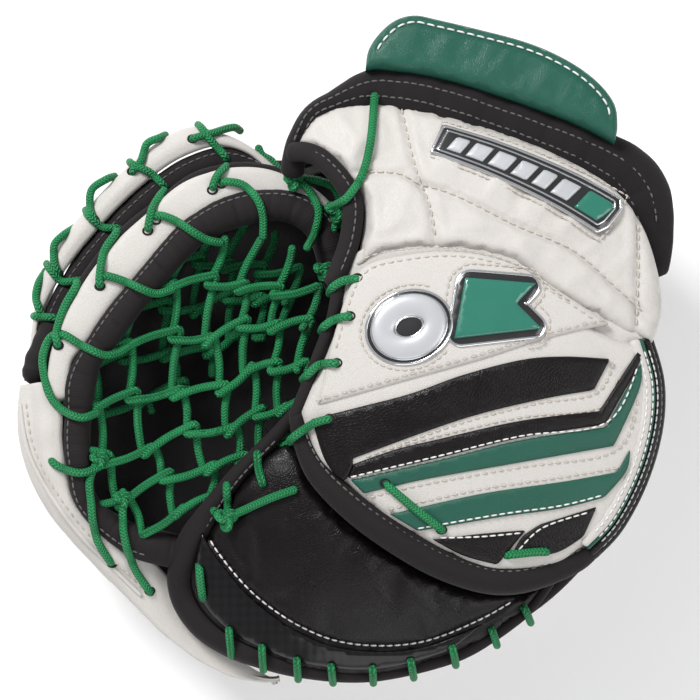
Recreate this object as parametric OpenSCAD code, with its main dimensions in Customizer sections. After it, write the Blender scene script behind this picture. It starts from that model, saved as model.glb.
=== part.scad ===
// Goalie catch glove, closed, lying on the back of the hand.
// +Z points up from the resting face, +Y towards the cuff, -X towards the netted pocket.
// Positive fold angles open the glove.

/* [Upper half crown] */
// Height of the thumb panel's highest point
crown_top = 162; // [158:1:166]
// Radius of the crowned thumb panel and cuff
crown_r = 430; // [420:1:460]
// X of the crown's highest point
crown_x = 70; // [66:1:74]
// Y of the crown's highest point
crown_y = 10; // [6:1:14]
// Thickness of the padded leather skins
skin_t = 6; // [4:0.5:6]
// Thickness of the foam under the skins
core_t = 15; // [10:1:15]
// Thickness of the sewn-on overlays and stripes
overlay_t = 1.8; // [1:0.1:2]

/* [Palm bulge] */
// Height of the black palm piece's highest point
palm_top = 140; // [136:1:142]
// Radius of the black palm piece
palm_r = 205; // [200:1:210]

/* [Back half] */
// Height of the back half's rim at the pocket
rim_z = 58; // [54:1:58]
// Fall of the rim per millimetre from the pocket's spine to the mouth
rim_fall = 0.10; // [0.08:0.01:0.1]
// Thickness of the back shell
shell_t = 4; // [3:0.5:4]
// Share of the back shell that is flat, from its middle
flat_share = 0.62; // [0.55:0.01:0.65]
// Diameter of one finger stall
stall_d = 18; // [16:1:18]

/* [Bands and binding] */
// Height of the upper pocket band
near_z = 110; // [108:1:112]
// Height of the lower pocket band
far_z = 84; // [82:1:84]
// Width of the white strip on the pocket bands
strip_w = 15; // [12:0.5:16]
// Thickness of the pocket bands
strip_t = 8; // [6:0.5:8]
// Radius of the rolled binding around the pocket's mouth
roll_r = 6; // [5:0.5:6.5]
// Radius of the rolled binding under the thumb panel
band_r = 5.7; // [5:0.1:5.8]

/* [Lacing] */
// Diameter of the braided lace
lace_d = 4.8; // [4:0.2:5]
// Distance between neighbouring net strands
net_pitch = 14; // [12:0.5:15]
// Length of one net mesh
mesh_len = 26; // [22:1:30]

/* [Cuff] */
// Width of the hand opening's lining
liner_w = 140; // [130:1:140]
// Height of the hand opening's lining
liner_h = 50; // [46:1:50]
// Wall of the hand opening's lining
liner_wall = 3; // [2:0.5:4]
// Thickness of the wrist guard flap
flap_t = 15; // [12:1:16]

/* [Hidden] */
gap = 0.4;
crown_z = crown_top - crown_r;
palm_x = 22;
palm_y = -52;
palm_z = palm_top - palm_r;
back_c = [0, -20];
spine_p = [-176, -22];
spine_d = [0.836, 0.549];
lace_r = lace_d / 2;
sphere_fn = 360;
stall_fn = 40;
// Radius of the binding on the back half's rim
rim_cord_r = 2.4;
// Height of the catching leather's middle, and of its edge below the rim
dish_z = 36;
dish_drop = 4;
// Height of the finger stalls' middle
stall_z = 24.6;

// ---------- curves and solids ----------

// A smooth open curve through the points, with n steps between each pair
function spline(p, n = 4) = concat(
    [for (i = [0 : len(p) - 2]) for (k = [0 : n - 1])
        spline_at(p[max(i - 1, 0)], p[i], p[i + 1], p[min(i + 2, len(p) - 1)], k / n)],
    [p[len(p) - 1]]);
function spline_at(a, b, c, d, t) =
    0.5 * (2 * b + (c - a) * t + (2 * a - 5 * b + 4 * c - d) * t * t + (3 * b - a - 3 * c + d) * t * t * t);
// A smooth closed curve through the points
function loop(p, n = 3) = [for (i = [0 : len(p) - 1]) for (k = [0 : n - 1])
    spline_at(p[(i + len(p) - 1) % len(p)], p[i], p[(i + 1) % len(p)], p[(i + 2) % len(p)], k / n)];
// The radii for a cord whose path has n steps between each pair of points
function smooth(radii, n) = [for (v = spline([for (r = radii) [r, 0]], n)) v[0]];
function unit(v) = v / norm(v);
function flat(lists) = [for (l = lists) for (v = l) v];
// The outline drawn in or out about its middle
function grow(p, k) = let (c = middle(p)) [for (q = p) c + k * (q - c)];
function middle(p) = [for (k = [0 : 1]) (min([for (q = p) q[k]]) + max([for (q = p) q[k]])) / 2];
function at_z(p, z) = [for (q = p) [q[0], q[1], z]];
function lift(p, dz) = [for (q = p) q + [0, 0, dz]];
function along(p, i) = unit(p[min(i + 1, len(p) - 1)] - p[max(i - 1, 0)]);
// The path moved sideways, to the right of its direction
function beside(p, d) = [for (i = [0 : len(p) - 1]) p[i] + d * unit(cross(along(p, i), [0, 0, 1]))];

// A closed skin over rings of points; each ring has the same number of points.
// An end is closed by a fan of triangles, or for a sheet by a strip between its two faces.
module rings(r, closed = false, strip = false) {
    n = len(r);
    m = len(r[0]);
    sides = [for (i = [0 : n - (closed ? 1 : 2)]) for (k = [0 : m - 1])
        let (a = i * m + k, b = i * m + (k + 1) % m, c = ((i + 1) % n) * m + (k + 1) % m,
            d = ((i + 1) % n) * m + k)
        each [[a, b, c], [a, c, d]]];
    fan = strip
        ? [for (k = [0 : m / 2 - 2]) each [[k, k + 1, m - 2 - k], [k, m - 2 - k, m - 1 - k]]]
        : [for (k = [1 : m - 2]) [0, k, k + 1]];
    last = (n - 1) * m;
    caps = closed
        ? []
        : [for (f = fan) each [[f[2], f[1], f[0]], [last + f[0], last + f[1], last + f[2]]]];
    polyhedron(points = flat(r), faces = concat(sides, caps), convexity = 6);
}

// A round cord along a path; radius is one number or one per point
module cord(p, radius, sides = 8, up = [0, 0, 1], closed = false) {
    n = len(p);
    rings([for (i = [0 : n - 1])
        let (t = closed ? unit(p[(i + 1) % n] - p[(i + n - 1) % n]) : along(p, i),
             s = unit(cross(t, up)),
             u = cross(s, t),
             q = is_list(radius) ? radius[i] : radius)
        [for (k = [0 : sides - 1]) p[i] + q * (cos(360 * k / sides) * s + sin(360 * k / sides) * u)]],
        closed);
}

// A sheet between two rows of rails: top and under hold the same grid of points
module sheet(top, under) {
    m = len(top[0]);
    rings([for (i = [0 : len(top) - 1])
        concat(top[i], [for (k = [m - 1 : -1 : 0]) under[i][k]])], strip = true);
}

// An upright wall under a plan path, t thick towards -X
module wall(path, low, high, t) {
    face = [for (p = path) [[p[0], p[1], low], [p[0], p[1], high]]];
    sheet(face, [for (r = face) [for (q = r) q - [t, 0, 0]]]);
}

// Flat straps and plates: an outline raised from z by t
module plate(outline, z, t) {
    translate([0, 0, z]) linear_extrude(t) polygon(outline);
}

// The part of an outline that lies in the crowned layer from depth down to depth + t
module crowned(outline, depth, t) {
    intersection() {
        translate([crown_x, crown_y, crown_z]) difference() {
            sphere(r = crown_r - depth, $fn = sphere_fn);
            sphere(r = crown_r - depth - t, $fn = sphere_fn);
        }
        plate(outline, 60, 120);
    }
}

module palm_layer(outline, depth, t) {
    intersection() {
        translate([palm_x, palm_y, palm_z]) difference() {
            sphere(r = palm_r - depth, $fn = sphere_fn);
            sphere(r = palm_r - depth - t, $fn = sphere_fn);
        }
        plate(outline, 40, 120);
    }
}

// ---------- outlines ----------

cuff_top = spline([[-23, 120], [-12, 139], [14, 144], [49, 136], [87, 124], [120, 110], [147, 94],
    [163, 74], [172, 47], [173, 25], [167, 9]]);
cuff_seam = spline([[145, 16], [118, 33], [75, 54], [32, 61], [4, 42]]);
cuff_left = spline([[8, 52], [9, 71], [3, 88], [-8, 105]]);
cuff_outline = concat(cuff_top, cuff_seam, cuff_left);

thumb_seam = spline([[3, 35], [32, 54], [75, 47], [118, 26], [145, 8], [167, 0]]);
thumb_right = spline([[171, -16], [170, -40], [162, -67], [142, -99]]);
thumb_low = spline([[131, -104], [120, -110], [102, -113], [83, -113], [68, -108], [45, -96],
    [20, -80], [5, -68], [-10, -57], [-17, -45], [-21, -28]]);
thumb_left = spline([[-14, -11], [-1, 19]]);
thumb_outline = concat(thumb_seam, thumb_right, thumb_low, thumb_left);

palm_upper = spline([[-28, -45], [-21, -50], [-12, -71], [5, -91], [30, -109], [55, -123],
    [80, -130], [97, -131], [111, -126]]);
palm_lower = spline([[99, -135], [80, -147], [60, -156], [31, -164], [6, -166], [-20, -159],
    [-40, -152], [-55, -146], [-67, -137], [-75, -128], [-77, -117], [-74, -107], [-63, -92],
    [-54, -77], [-41, -56]]);
palm_outline = concat(palm_upper, palm_lower);

back_outline = loop([[168, 40], [172, -20], [160, -80], [120, -130], [60, -163], [0, -170],
    [-60, -164], [-110, -136], [-150, -93], [-169, -50], [-170, 0], [-158, 50], [-125, 95],
    [-80, 120], [-30, 118], [15, 133], [80, 133], [140, 108]], 2);

// ---------- back half ----------

function from_spine(p) = (p[0] - spine_p[0]) * spine_d[1] - (p[1] - spine_p[1]) * spine_d[0];
function rim_at(p) = rim_z - rim_fall * max(0, from_spine(p));
function back_rise(s) = pow(max(0, (s - flat_share) / (1 - flat_share)), 1.8);
function back_point(p, s, up) =
    let (q = back_c + s * (p - back_c))
    [q[0], q[1], rim_at(p) * back_rise(s) + up];
function dish_point(p, s, up) =
    let (q = back_c + s * (p - back_c))
    [q[0], q[1], dish_z + (rim_at(p) - dish_z - dish_drop) * pow(s, 4) + up];
function layer_point(p, s, up, dish) = dish ? dish_point(p, s, up) : back_point(p, s, up);

// A dished layer of the back half, from share 0 to reach of the outline
module back_layer(low, high, reach, dish = false) {
    shares = [for (s = [0.02, 0.55, 0.7, 0.8, 0.88, 0.95, 1]) s * reach];
    lower = [for (s = shares) [for (p = back_outline) layer_point(p, s, low, dish)]];
    upper = [for (s = shares) [for (p = back_outline) layer_point(p, s, high, dish)]];
    n = len(shares);
    rings(concat([for (i = [0 : n - 1]) upper[i]], [for (i = [n - 1 : -1 : 0]) lower[i]]));
}

module finger_shell() {
    color("whitesmoke") back_layer(0, shell_t, 1);
}

module back_plate() {
    color("dimgray") plate(grow(back_outline, 0.55), shell_t + gap, 2);
}

module finger_core() {
    color("gray") back_layer(shell_t + 3, shell_t + 8.5, 0.85);
}

// A sewn tube for one finger, closed by a round tip
module stall(length, outer, inner) {
    difference() {
        union() {
            cylinder(h = length, r = outer, $fn = stall_fn);
            translate([0, 0, length]) sphere(r = outer, $fn = stall_fn);
        }
        translate([0, 0, -1]) cylinder(h = length, r = inner, $fn = stall_fn);
    }
}

module finger_stalls() {
    stalls = [[[68, 58], [64, -90]], [[45, 60], [35, -102]], [[22, 60], [5, -103]], [[-1, 58], [-26, -92]]];
    color("#2b2b2d") for (s = stalls) {
        d = s[1] - s[0];
        translate([s[0][0], s[0][1], stall_z]) rotate([90, 0, atan2(d[0], -d[1])])
            stall(norm(d), stall_d / 2, stall_d / 2 - 1.5);
    }
}

module finger_lining() {
    color("#1c1a1b") back_layer(0, 3, 0.93, true);
}

module finger_binding() {
    path = [for (p = back_outline) [p[0], p[1], rim_at(p) + shell_t + rim_cord_r + gap]];
    color("#332c2e") cord(path, rim_cord_r, 8, [0, 0, 1], true);
}

module heel_gusset() {
    path = spline([[162, -4], [161, -38], [151, -66], [134, -94]], 3);
    color("#242224") wall(path, 64, 80, 5);
}

// ---------- cuff ----------

liner_dir = 17;
liner_from = [70, 66];
liner_len = 78;
liner_mid_z = 94;

module cuff_shell() {
    color("whitesmoke") crowned(cuff_outline, 0, skin_t);
}

module cuff_core() {
    color("gray") crowned(grow(cuff_outline, 0.93), skin_t + gap, core_t);
}

module stadium(w, h) {
    r = h / 2;
    polygon(concat(
        [for (a = [-90 : 15 : 90]) [w / 2 - r + r * cos(a), r * sin(a)]],
        [for (a = [90 : 15 : 270]) [-w / 2 + r + r * cos(a), r * sin(a)]]));
}

module cuff_liner() {
    color("#1e1c1e") translate([liner_from[0], liner_from[1], liner_mid_z])
        rotate([90, 0, 180 - liner_dir]) linear_extrude(liner_len) difference() {
            stadium(liner_w, liner_h);
            stadium(liner_w - 2 * liner_wall, liner_h - 2 * liner_wall);
        }
}

module cuff_roll() {
    path = spline([[-30, 110, 116], [-27, 127, 124], [-12, 149, 130], [14, 156, 132], [53, 149, 134],
        [91, 137, 132], [126, 124, 130], [153, 110, 126], [171, 92, 121], [178, 70, 114],
        [180, 52, 108]]);
    radii = [4, 4.5, 6, 9, 10, 10, 10, 10, 7, 5, 3.5];
    color("#332c2e") cord(path, smooth(radii, 4), 10);
}

module cuff_edge_binding() {
    path = spline([[-32, 102, 126], [-20, 102, 136], [-8, 92, 142], [-0.5, 80, 146], [0.5, 68, 148],
        [-2, 56, 149], [-6, 46, 149]]);
    color("#332c2e") cord(path, 3.4, 8);
}

module cuff_side_panel() {
    color("whitesmoke") translate([158, 0, 66]) cube([4, 76, 44]);
}

badge_top = spline([[58, 127], [90, 118], [115, 108], [152, 86]]);
badge_low = spline([[147, 67], [126, 77], [102, 89], [73, 102], [51, 113]]);
badge_shape = concat(badge_top, badge_low);

module badge_frame() {
    color("#151515") difference() {
        crowned(badge_shape, -2.6, 2.2);
        crowned(grow(badge_shape, 0.93), -3, 2);
    }
}

module badge_plate() {
    plate = [[59, 122], [88, 113], [112, 103], [122, 98], [117, 84], [100, 93], [74, 105], [57, 113]];
    color("silver") crowned(grow(plate, 0.93), -2.4, 1.2);
}

module badge_accent() {
    color("seagreen") crowned([[125, 96], [146, 84], [142, 72], [121, 82]], -2.4, 1.2);
}

// ---------- lower pocket band, back net and lacing ----------

far_path = spline([[-171, -4], [-170, 14], [-166, 38], [-155, 60], [-140, 80], [-124, 97],
    [-105, 113], [-84, 124], [-66, 127], [-48, 121], [-32, 108]], 3);

far_low_z = 72;

module far_post() {
    path = at_z(far_path, far_z);
    outer = beside(path, -5.5);
    inner = beside(path, 5);
    low = at_z(beside(path, -7), far_low_z);
    top = [for (i = [0 : len(path) - 1]) [inner[i], outer[i], low[i]]];
    under = [for (i = [0 : len(path) - 1])
        let (in = unit(inner[i] - outer[i]))
        [inner[i] - [0, 0, 5], outer[i] + 5 * in - [0, 0, 5], low[i] + 5 * in]];
    color("whitesmoke") sheet(top, under);
}

module far_post_binding() {
    color("#332c2e") cord(beside(at_z(far_path, far_z - 6), 10.8), 5, 8);
}

// Net strands inside an oval, following the height function of the layer
net_dir = unit([0.458, 0.889]);
net_side = [net_dir[1], -net_dir[0]];

function strand(c, a, b, v, phase, low, rise, sag) =
    let (reach = a * sqrt(1 - pow(v / b, 2)), n = max(4, round(4 * reach / mesh_len * 2)))
    [for (i = [0 : n])
        let (w = -reach + 2 * reach * i / n,
             side = v + 0.43 * net_pitch * sin(360 * w / mesh_len + phase),
             q = c + w * net_dir + side * net_side,
             away = pow(w / a, 2) + pow(v / b, 2))
        [q[0], q[1], low + rise * (q[0] - c[0] + b) / (2 * b) - sag * (1 - away)]];

module net(c, a, b, rows, low, rise, sag) {
    for (k = [-rows : rows])
        cord(strand(c, a, b, k * net_pitch, k % 2 == 0 ? 0 : 180, low, rise, sag), lace_r * 0.8, 5);
}

module far_net() {
    color("#238c4b") net([-92, 28], 66, 40, 2, 64, 2, 6);
}

// Lace stitches across a band: each lies on top from outer to inner, and hangs by drop outside
module lace_over(path, outer, inner, drop, first, step) {
    for (i = [first : step : len(path) - 3]) {
        side = unit(cross(along(path, i), [0, 0, 1]));
        top = path[i] + [0, 0, lace_r + gap];
        edge = top - side * outer;
        fold = edge - side * lace_r - [0, 0, lace_r];
        leg = drop > 0 ? [fold - [0, 0, drop], fold] : [];
        cord(concat(leg, [edge + side, top + side * inner]), lace_r, 6, cross(side, [0, 0, 1]));
    }
}

module spine_lacing() {
    color("#238c4b") lace_over(at_z(far_path, far_z), 7.5, 2, 5, 4, 5);
}

// ---------- wrist strap ----------

strap_y = 14;
strap_w = 32;
strap_x = 170;

module strap_anchor() {
    color("#242224") translate([strap_x - 5, strap_y, 62]) cube([4, strap_w, 12]);
}

module strap_loop_patch() {
    color("#2b2b2d") translate([162.5, strap_y + 1, 80]) cube([2.5, strap_w - 2, 24]);
}

module wrist_strap() {
    color("#1d1c1e") translate([strap_x, strap_y, 63]) cube([2.5, strap_w, 44]);
}

module strap_hook_tape() {
    color("#3a3a3c") translate([strap_x - 3, strap_y + 2, 80]) cube([2.6, strap_w - 4, 22]);
}

// ---------- wrist guard ----------

flap_top = spline([[16, 167], [21, 176], [30, 184], [41, 187], [54, 185], [79, 179], [101, 173],
    [118, 166], [133, 157], [144, 146], [150, 136]]);
flap_low = spline([[150, 125], [129, 137], [92, 150], [53, 162], [20, 168]]);
flap_outline = concat(flap_top, flap_low);
flap_z = 134;

flap_hollow = concat(spline([[24, 172], [32, 180], [43, 183], [54, 181], [78, 175], [99, 169],
    [115, 162], [129, 153], [139, 144], [145, 136]]), spline([[143, 133], [129, 141], [93, 154],
    [54, 166], [28, 171]]));
flap_roll = spline([[34, 174], [54, 173.5], [78, 168], [100, 160.5], [118, 152.5], [128, 147.5]]);

module wrist_guard_cover() {
    color("seagreen") difference() {
        plate(flap_outline, flap_z, flap_t);
        plate(flap_hollow, flap_z + 2, flap_t - 4);
    }
}

module wrist_guard_core() {
    color("gray") cord(at_z(flap_roll, flap_z + flap_t / 2), 3.6, 10);
}

// ---------- thumb ----------

module thumb_shell() {
    color("whitesmoke") crowned(thumb_outline, 0, skin_t);
}

module thumb_core() {
    color("gray") crowned(grow(thumb_outline, 0.92), skin_t + gap, core_t);
}

overlay_edge = spline([[-8, -5], [-13, -28], [32, -15], [75, -3], [109, 8], [136, 17]], 3);

module thumb_overlay() {
    top = spline([[130, 22], [118, 24], [98, 34], [75, 44], [54, 49], [32, 51], [15, 42], [2, 24]], 3);
    color("white") crowned(concat(overlay_edge, top), -overlay_t - 0.2, overlay_t);
}

module emblem_ring() {
    ring = [for (a = [0 : 20 : 340]) [38 + 17 * cos(a), 12 + 15 * sin(a)]];
    color("silver") difference() {
        crowned(ring, -overlay_t - 3.2, 2.8);
        crowned(grow(ring, 0.5), -overlay_t - 4, 4);
    }
}

module emblem_flag() {
    color("seagreen") crowned([[61, 9], [66, 38], [101, 36], [92, 26], [104, 15]], -overlay_t - 3.2, 2.8);
}

module stripe(outline) {
    crowned(outline, -overlay_t - 0.2, overlay_t);
}

module stripe_black_upper() {
    color("#171516") stripe([[0, -32], [32, -22], [100, -4], [141, -5], [132, -18], [85, -30],
        [53, -37], [5, -53]]);
}

module stripe_black_lower() {
    color("#171516") stripe([[5, -60], [40, -51], [85, -42], [140, -33], [157, -1], [159, -14],
        [144, -38], [96, -47], [53, -56], [5, -65]]);
}

module stripe_green_upper() {
    color("seagreen") stripe([[8, -67.5], [53, -58], [96, -49], [145, -40], [159.5, -16], [161, -14],
        [146, -50], [113, -55], [53, -63], [10, -71]]);
}

module stripe_white() {
    color("white") stripe([[30, -73], [60, -65], [113, -57], [147, -52], [160, -28], [149, -63],
        [118, -70], [77, -79], [32, -84]]);
}

module stripe_green_lower() {
    color("seagreen") stripe([[35, -86], [77, -81], [118, -72], [149, -65], [157, -55], [145, -76],
        [89, -88], [48, -92]]);
}

module stripe_black_tips() {
    color("#171516") {
        stripe([[55, -97], [98, -92], [84, -108]]);
        stripe([[92, -104], [108, -90], [138, -82], [130, -98]]);
    }
}

module thumb_binding() {
    path = spline([[133, -113.5, 129.5], [112, -119.5, 131.5], [91, -122, 132.5], [74, -120, 133.5],
        [50, -110, 136.5], [25, -95, 138.5], [6, -80, 139.5], [-12, -61, 139.5]], 3);
    color("#332c2e") cord(path, band_r, 10);
}

module thumb_edge_binding() {
    path = spline([[-26.5, -34, 142], [-20.5, -13, 146], [-7, 19, 149], [-3, 30, 150]], 3);
    color("#332c2e") cord(path, 3.4, 8);
}

module thumb_side_wrap() {
    path = spline([[162, -9], [162, -38], [153, -66], [135, -95]], 3);
    color("whitesmoke") wall(path, 92, 116, skin_t);
}

module thumb_stall() {
    color("#2b2b2d") translate([62, 12, 104]) rotate([90, 0, -6]) stall(100, 14, 11.5);
}

module thumb_lining() {
    outline = loop([[2, 22], [70, 30], [140, -8], [144, -60], [112, -104], [60, -128], [0, -126],
        [-36, -98], [-38, -66], [-18, -20]], 3);
    color("#1c1a1b") plate(outline, 84, 3);
}

// ---------- palm ----------

module palm_leather() {
    color("#1a1819") palm_layer(palm_outline, 0, skin_t);
}

module palm_core() {
    color("gray") palm_layer(grow(palm_outline, 0.88), skin_t + gap, core_t);
}

function palm_height(x, y) = palm_z + sqrt(pow(palm_r, 2) - pow(x - palm_x, 2) - pow(y - palm_y, 2));

palm_roll_plan = [[-50.5, -67], [-64, -82], [-74, -94], [-85, -108], [-88, -121], [-84, -134],
    [-74, -146.5], [-59, -156.5], [-42, -163], [-22, -169], [6, -173.5], [31, -171], [62, -163],
    [83, -153], [104, -139], [112, -131]];
palm_roll_radii = [2.4, 5, 6.6, 7.4, 7.4, 7, 7, 6.5, 6.5, 5.5, 4.2, 3.7, 3.7, 3.2, 2.7, 2.2];
palm_roll = spline([for (p = palm_roll_plan) [p[0], p[1], palm_height(p[0], p[1]) - 8]], 2);
palm_roll_r = smooth(palm_roll_radii, 2);

module palm_binding() {
    color("#332c2e") cord(palm_roll, palm_roll_r, 8);
}

module lace_loop(radius, turn) {
    rotate_extrude(angle = turn, $fn = 48) translate([radius, 0]) circle(r = lace_r * 0.8, $fn = 16);
}

module perimeter_lacing() {
    color("#238c4b") for (i = [18 : 2 : 28]) {
        t = along(palm_roll, i);
        translate(palm_roll[i])
            rotate([0, 0, atan2(t[1], t[0]) - 90])
                rotate([90, 0, 0])
                    rotate([0, 0, -80])
                        lace_loop(palm_roll_r[i] + lace_r + 1.2, 190);
    }
}

// ---------- upper pocket band and sweep ----------

post_path = spline([[-3, 71, 104], [-12, 89, 106], [-30, 101, 108], [-52, 103, near_z],
    [-76, 98, near_z], [-95, 84, near_z], [-111, 68, near_z], [-127, 50, near_z], [-141, 29, 109],
    [-151, 10, 107], [-157, -7, 106]], 3);

module near_post() {
    outer = beside(post_path, strip_w / 2 - 2);
    inner = beside(post_path, -strip_w / 2 + 1);
    top = [for (i = [0 : len(post_path) - 1]) [outer[i], inner[i]]];
    color("whitesmoke") sheet(top, [for (r = top) lift(r, -strip_t)]);
}

module near_post_binding() {
    color("#332c2e") cord(lift(beside(post_path, strip_w / 2 + 1.6), -4), 3, 8);
}

roll_path = spline([[-8, 42, 100], [-15, 60, 103], [-22, 74, 105], [-32, 82.5, 107],
    [-46, 85.5, 108], [-67, 80, 108], [-84, 69, 108], [-99, 54, 108], [-113, 37, 108],
    [-126, 19, 107], [-137, 1, 104], [-143, -18, 102], [-144, -42, 100], [-142, -62, 98],
    [-137, -76, 96], [-128, -87, 94], [-115, -95, 91], [-101, -99, 89]], 3);

module pocket_roll() {
    color("#332c2e") cord(roll_path, roll_r, 10);
}

sweep_rows = [[[-160, -20, 104], [-178, -18, 98]], [[-154, -42, 102], [-178, -43, 97]],
    [[-152, -62, 100], [-172, -67, 95]], [[-147, -80, 97], [-162, -87, 91]], [[-136, -95, 93],
    [-148, -104, 87]], [[-121, -105, 88], [-133, -119, 83]], [[-113, -115, 84], [-118, -134, 79]],
    [[-107, -129, 80], [-103, -149, 77]], [[-98, -143, 76], [-86, -162, 74]], [[-84, -156, 72],
    [-68, -172, 72]], [[-66, -165, 71], [-50, -177, 71]], [[-46, -170, 70], [-34, -178, 70]]];
sweep_low_z = 71;
sweep_fall = 0.035;

module sweep() {
    inner = spline([for (r = sweep_rows) r[0]], 3);
    outer = spline([for (r = sweep_rows) r[1]], 3);
    n = len(inner) - 1;
    in = [for (i = [0 : n]) let (d = inner[i] - outer[i]) unit([d[0], d[1], 0])];
    low = [for (i = [0 : n])
        [outer[i][0], outer[i][1], sweep_low_z - sweep_fall * from_spine(outer[i])] + in[i]];
    top = [for (i = [0 : n]) [inner[i], 0.4 * inner[i] + 0.6 * outer[i] + [0, 0, 3], outer[i], low[i]]];
    under = [for (i = [0 : n])
        [inner[i] - [0, 0, 4], 0.4 * inner[i] + 0.6 * outer[i] - [0, 0, 1], outer[i] + 3 * in[i] - [0, 0, 3],
            low[i] + 3 * in[i]]];
    color("whitesmoke") sheet(top, under);
}

module sweep_core() {
    rows = [for (i = [0 : 5]) sweep_rows[i]];
    inner = spline([for (r = rows) r[0]], 2);
    outer = spline([for (r = rows) r[1]], 2);
    n = len(inner) - 1;
    mid = [for (i = [0 : n]) 0.45 * inner[i] + 0.55 * outer[i]];
    color("gray") cord(lift(mid, -9.6), 3, 6);
}

module near_net() {
    color("#238c4b") net([-78, -10], 81, 45, 3, 100, 14, 5);
}

module rim_lacing() {
    color("#238c4b") lace_over(post_path, 8, 5, 0, 4, 5);
}

// ---------- drawing ----------

finger_shell();
back_plate();
finger_core();
finger_stalls();
finger_lining();
finger_binding();
heel_gusset();
cuff_shell();
cuff_core();
cuff_liner();
cuff_roll();
cuff_edge_binding();
cuff_side_panel();
badge_frame();
badge_plate();
badge_accent();
far_post();
far_post_binding();
far_net();
spine_lacing();
strap_anchor();
strap_loop_patch();
wrist_strap();
strap_hook_tape();
wrist_guard_cover();
wrist_guard_core();
thumb_shell();
thumb_core();
thumb_overlay();
emblem_ring();
emblem_flag();
stripe_black_upper();
stripe_black_lower();
stripe_green_upper();
stripe_white();
stripe_green_lower();
stripe_black_tips();
thumb_binding();
thumb_edge_binding();
thumb_side_wrap();
thumb_stall();
thumb_lining();
palm_leather();
palm_core();
palm_binding();
perimeter_lacing();
near_post();
near_post_binding();
pocket_roll();
sweep();
sweep_core();
near_net();
rim_lacing();
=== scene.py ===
"""Looks of a goalie catch glove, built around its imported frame. Lengths in this script are millimetres."""
import math

import bmesh
import bpy
import numpy as np
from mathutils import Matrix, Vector
from mathutils.bvhtree import BVHTree
from mathutils.geometry import delaunay_2d_cdt


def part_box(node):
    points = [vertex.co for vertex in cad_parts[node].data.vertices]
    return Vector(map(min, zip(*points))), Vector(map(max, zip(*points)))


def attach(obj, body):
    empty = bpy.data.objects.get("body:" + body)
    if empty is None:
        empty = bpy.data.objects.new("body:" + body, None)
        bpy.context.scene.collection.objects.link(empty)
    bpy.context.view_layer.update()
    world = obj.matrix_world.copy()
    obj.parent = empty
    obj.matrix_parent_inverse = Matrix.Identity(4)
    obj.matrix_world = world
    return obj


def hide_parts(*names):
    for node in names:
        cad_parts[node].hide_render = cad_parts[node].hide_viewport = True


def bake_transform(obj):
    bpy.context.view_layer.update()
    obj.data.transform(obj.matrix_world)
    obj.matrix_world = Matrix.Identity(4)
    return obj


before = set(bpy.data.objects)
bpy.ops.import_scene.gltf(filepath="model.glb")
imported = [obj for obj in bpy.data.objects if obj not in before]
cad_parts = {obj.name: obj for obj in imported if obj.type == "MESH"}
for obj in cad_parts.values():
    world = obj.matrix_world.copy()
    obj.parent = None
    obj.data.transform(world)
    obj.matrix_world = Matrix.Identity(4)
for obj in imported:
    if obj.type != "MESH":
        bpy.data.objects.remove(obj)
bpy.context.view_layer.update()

MM = 0.001

# ---------- sizes taken from the frame ----------


def node_box(node):
    low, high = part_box(node)
    return np.array(low) / MM, np.array(high) / MM


CROWN_TOP = node_box("thumb_shell")[1][2]
CROWN_R = 430.0
CROWN_XY = (70.0, 10.0)
PALM_TOP = node_box("palm_leather")[1][2]
PALM_R = 205.0
PALM_XY = (22.0, -52.0)
NEAR_Z = node_box("near_post")[1][2]
FAR_Z = node_box("far_post")[1][2]
LACE_R = 2.3


def crown(x, y):
    return CROWN_TOP - CROWN_R + np.sqrt(CROWN_R ** 2 - (x - CROWN_XY[0]) ** 2 - (y - CROWN_XY[1]) ** 2)


def palm_dome(x, y):
    reach = PALM_R ** 2 - (x - PALM_XY[0]) ** 2 - (y - PALM_XY[1]) ** 2
    return PALM_TOP - PALM_R + np.sqrt(np.maximum(reach, 1.0))


def raised(height, base=crown):
    """A surface that lies height mm above another one."""
    return lambda x, y: base(x, y) + height


# ---------- curves ----------


def spline(points, steps=8, closed=False):
    """Catmull-Rom curve through the points."""
    p = [np.array(q, float) for q in points]
    count = len(p)
    out = []
    for i in range(count if closed else count - 1):
        if closed:
            a, b, c, d = p[i - 1], p[i], p[(i + 1) % count], p[(i + 2) % count]
        else:
            a, b, c, d = p[max(i - 1, 0)], p[i], p[i + 1], p[min(i + 2, count - 1)]
        for k in range(steps):
            t = k / steps
            out.append(0.5 * (2 * b + (c - a) * t + (2 * a - 5 * b + 4 * c - d) * t ** 2
                              + (3 * b - a - 3 * c + d) * t ** 3))
    if not closed:
        out.append(p[-1])
    return np.array(out)


def run_length(path):
    """The distance along a path at each of its points."""
    return np.concatenate([[0], np.cumsum(np.linalg.norm(np.diff(path, axis=0), axis=1))])


def count_along(path, count):
    """The path as a fixed number of points at equal distances."""
    path = np.asarray(path, float)
    lengths = run_length(path)
    at = np.linspace(0, lengths[-1], count)
    return np.column_stack([np.interp(at, lengths, path[:, k]) for k in range(path.shape[1])])


def even(path, step, closed=False):
    """The same path with points at equal distances."""
    path = np.asarray(path, float)
    if closed:
        path = np.vstack([path, path[:1]])
    out = count_along(path, max(2, int(round(run_length(path)[-1] / step)) + 1))
    return out[:-1] if closed else out


def unit(v):
    v = np.asarray(v, float)
    return v / np.maximum(np.linalg.norm(v, axis=-1, keepdims=True), 1e-9)


def tangents(path, closed=False):
    if closed:
        return unit(np.roll(path, -1, 0) - np.roll(path, 1, 0))
    return unit(np.gradient(path, axis=0))


def left_of(path, closed=False):
    """Unit vectors to the left of a flat path."""
    t = tangents(path, closed)
    return np.column_stack([-t[:, 1], t[:, 0]])


def inset_row(path, distance):
    """A flat path moved to its left by a distance."""
    flat = np.asarray(path)[:, :2]
    return flat + distance * left_of(flat)


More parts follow.
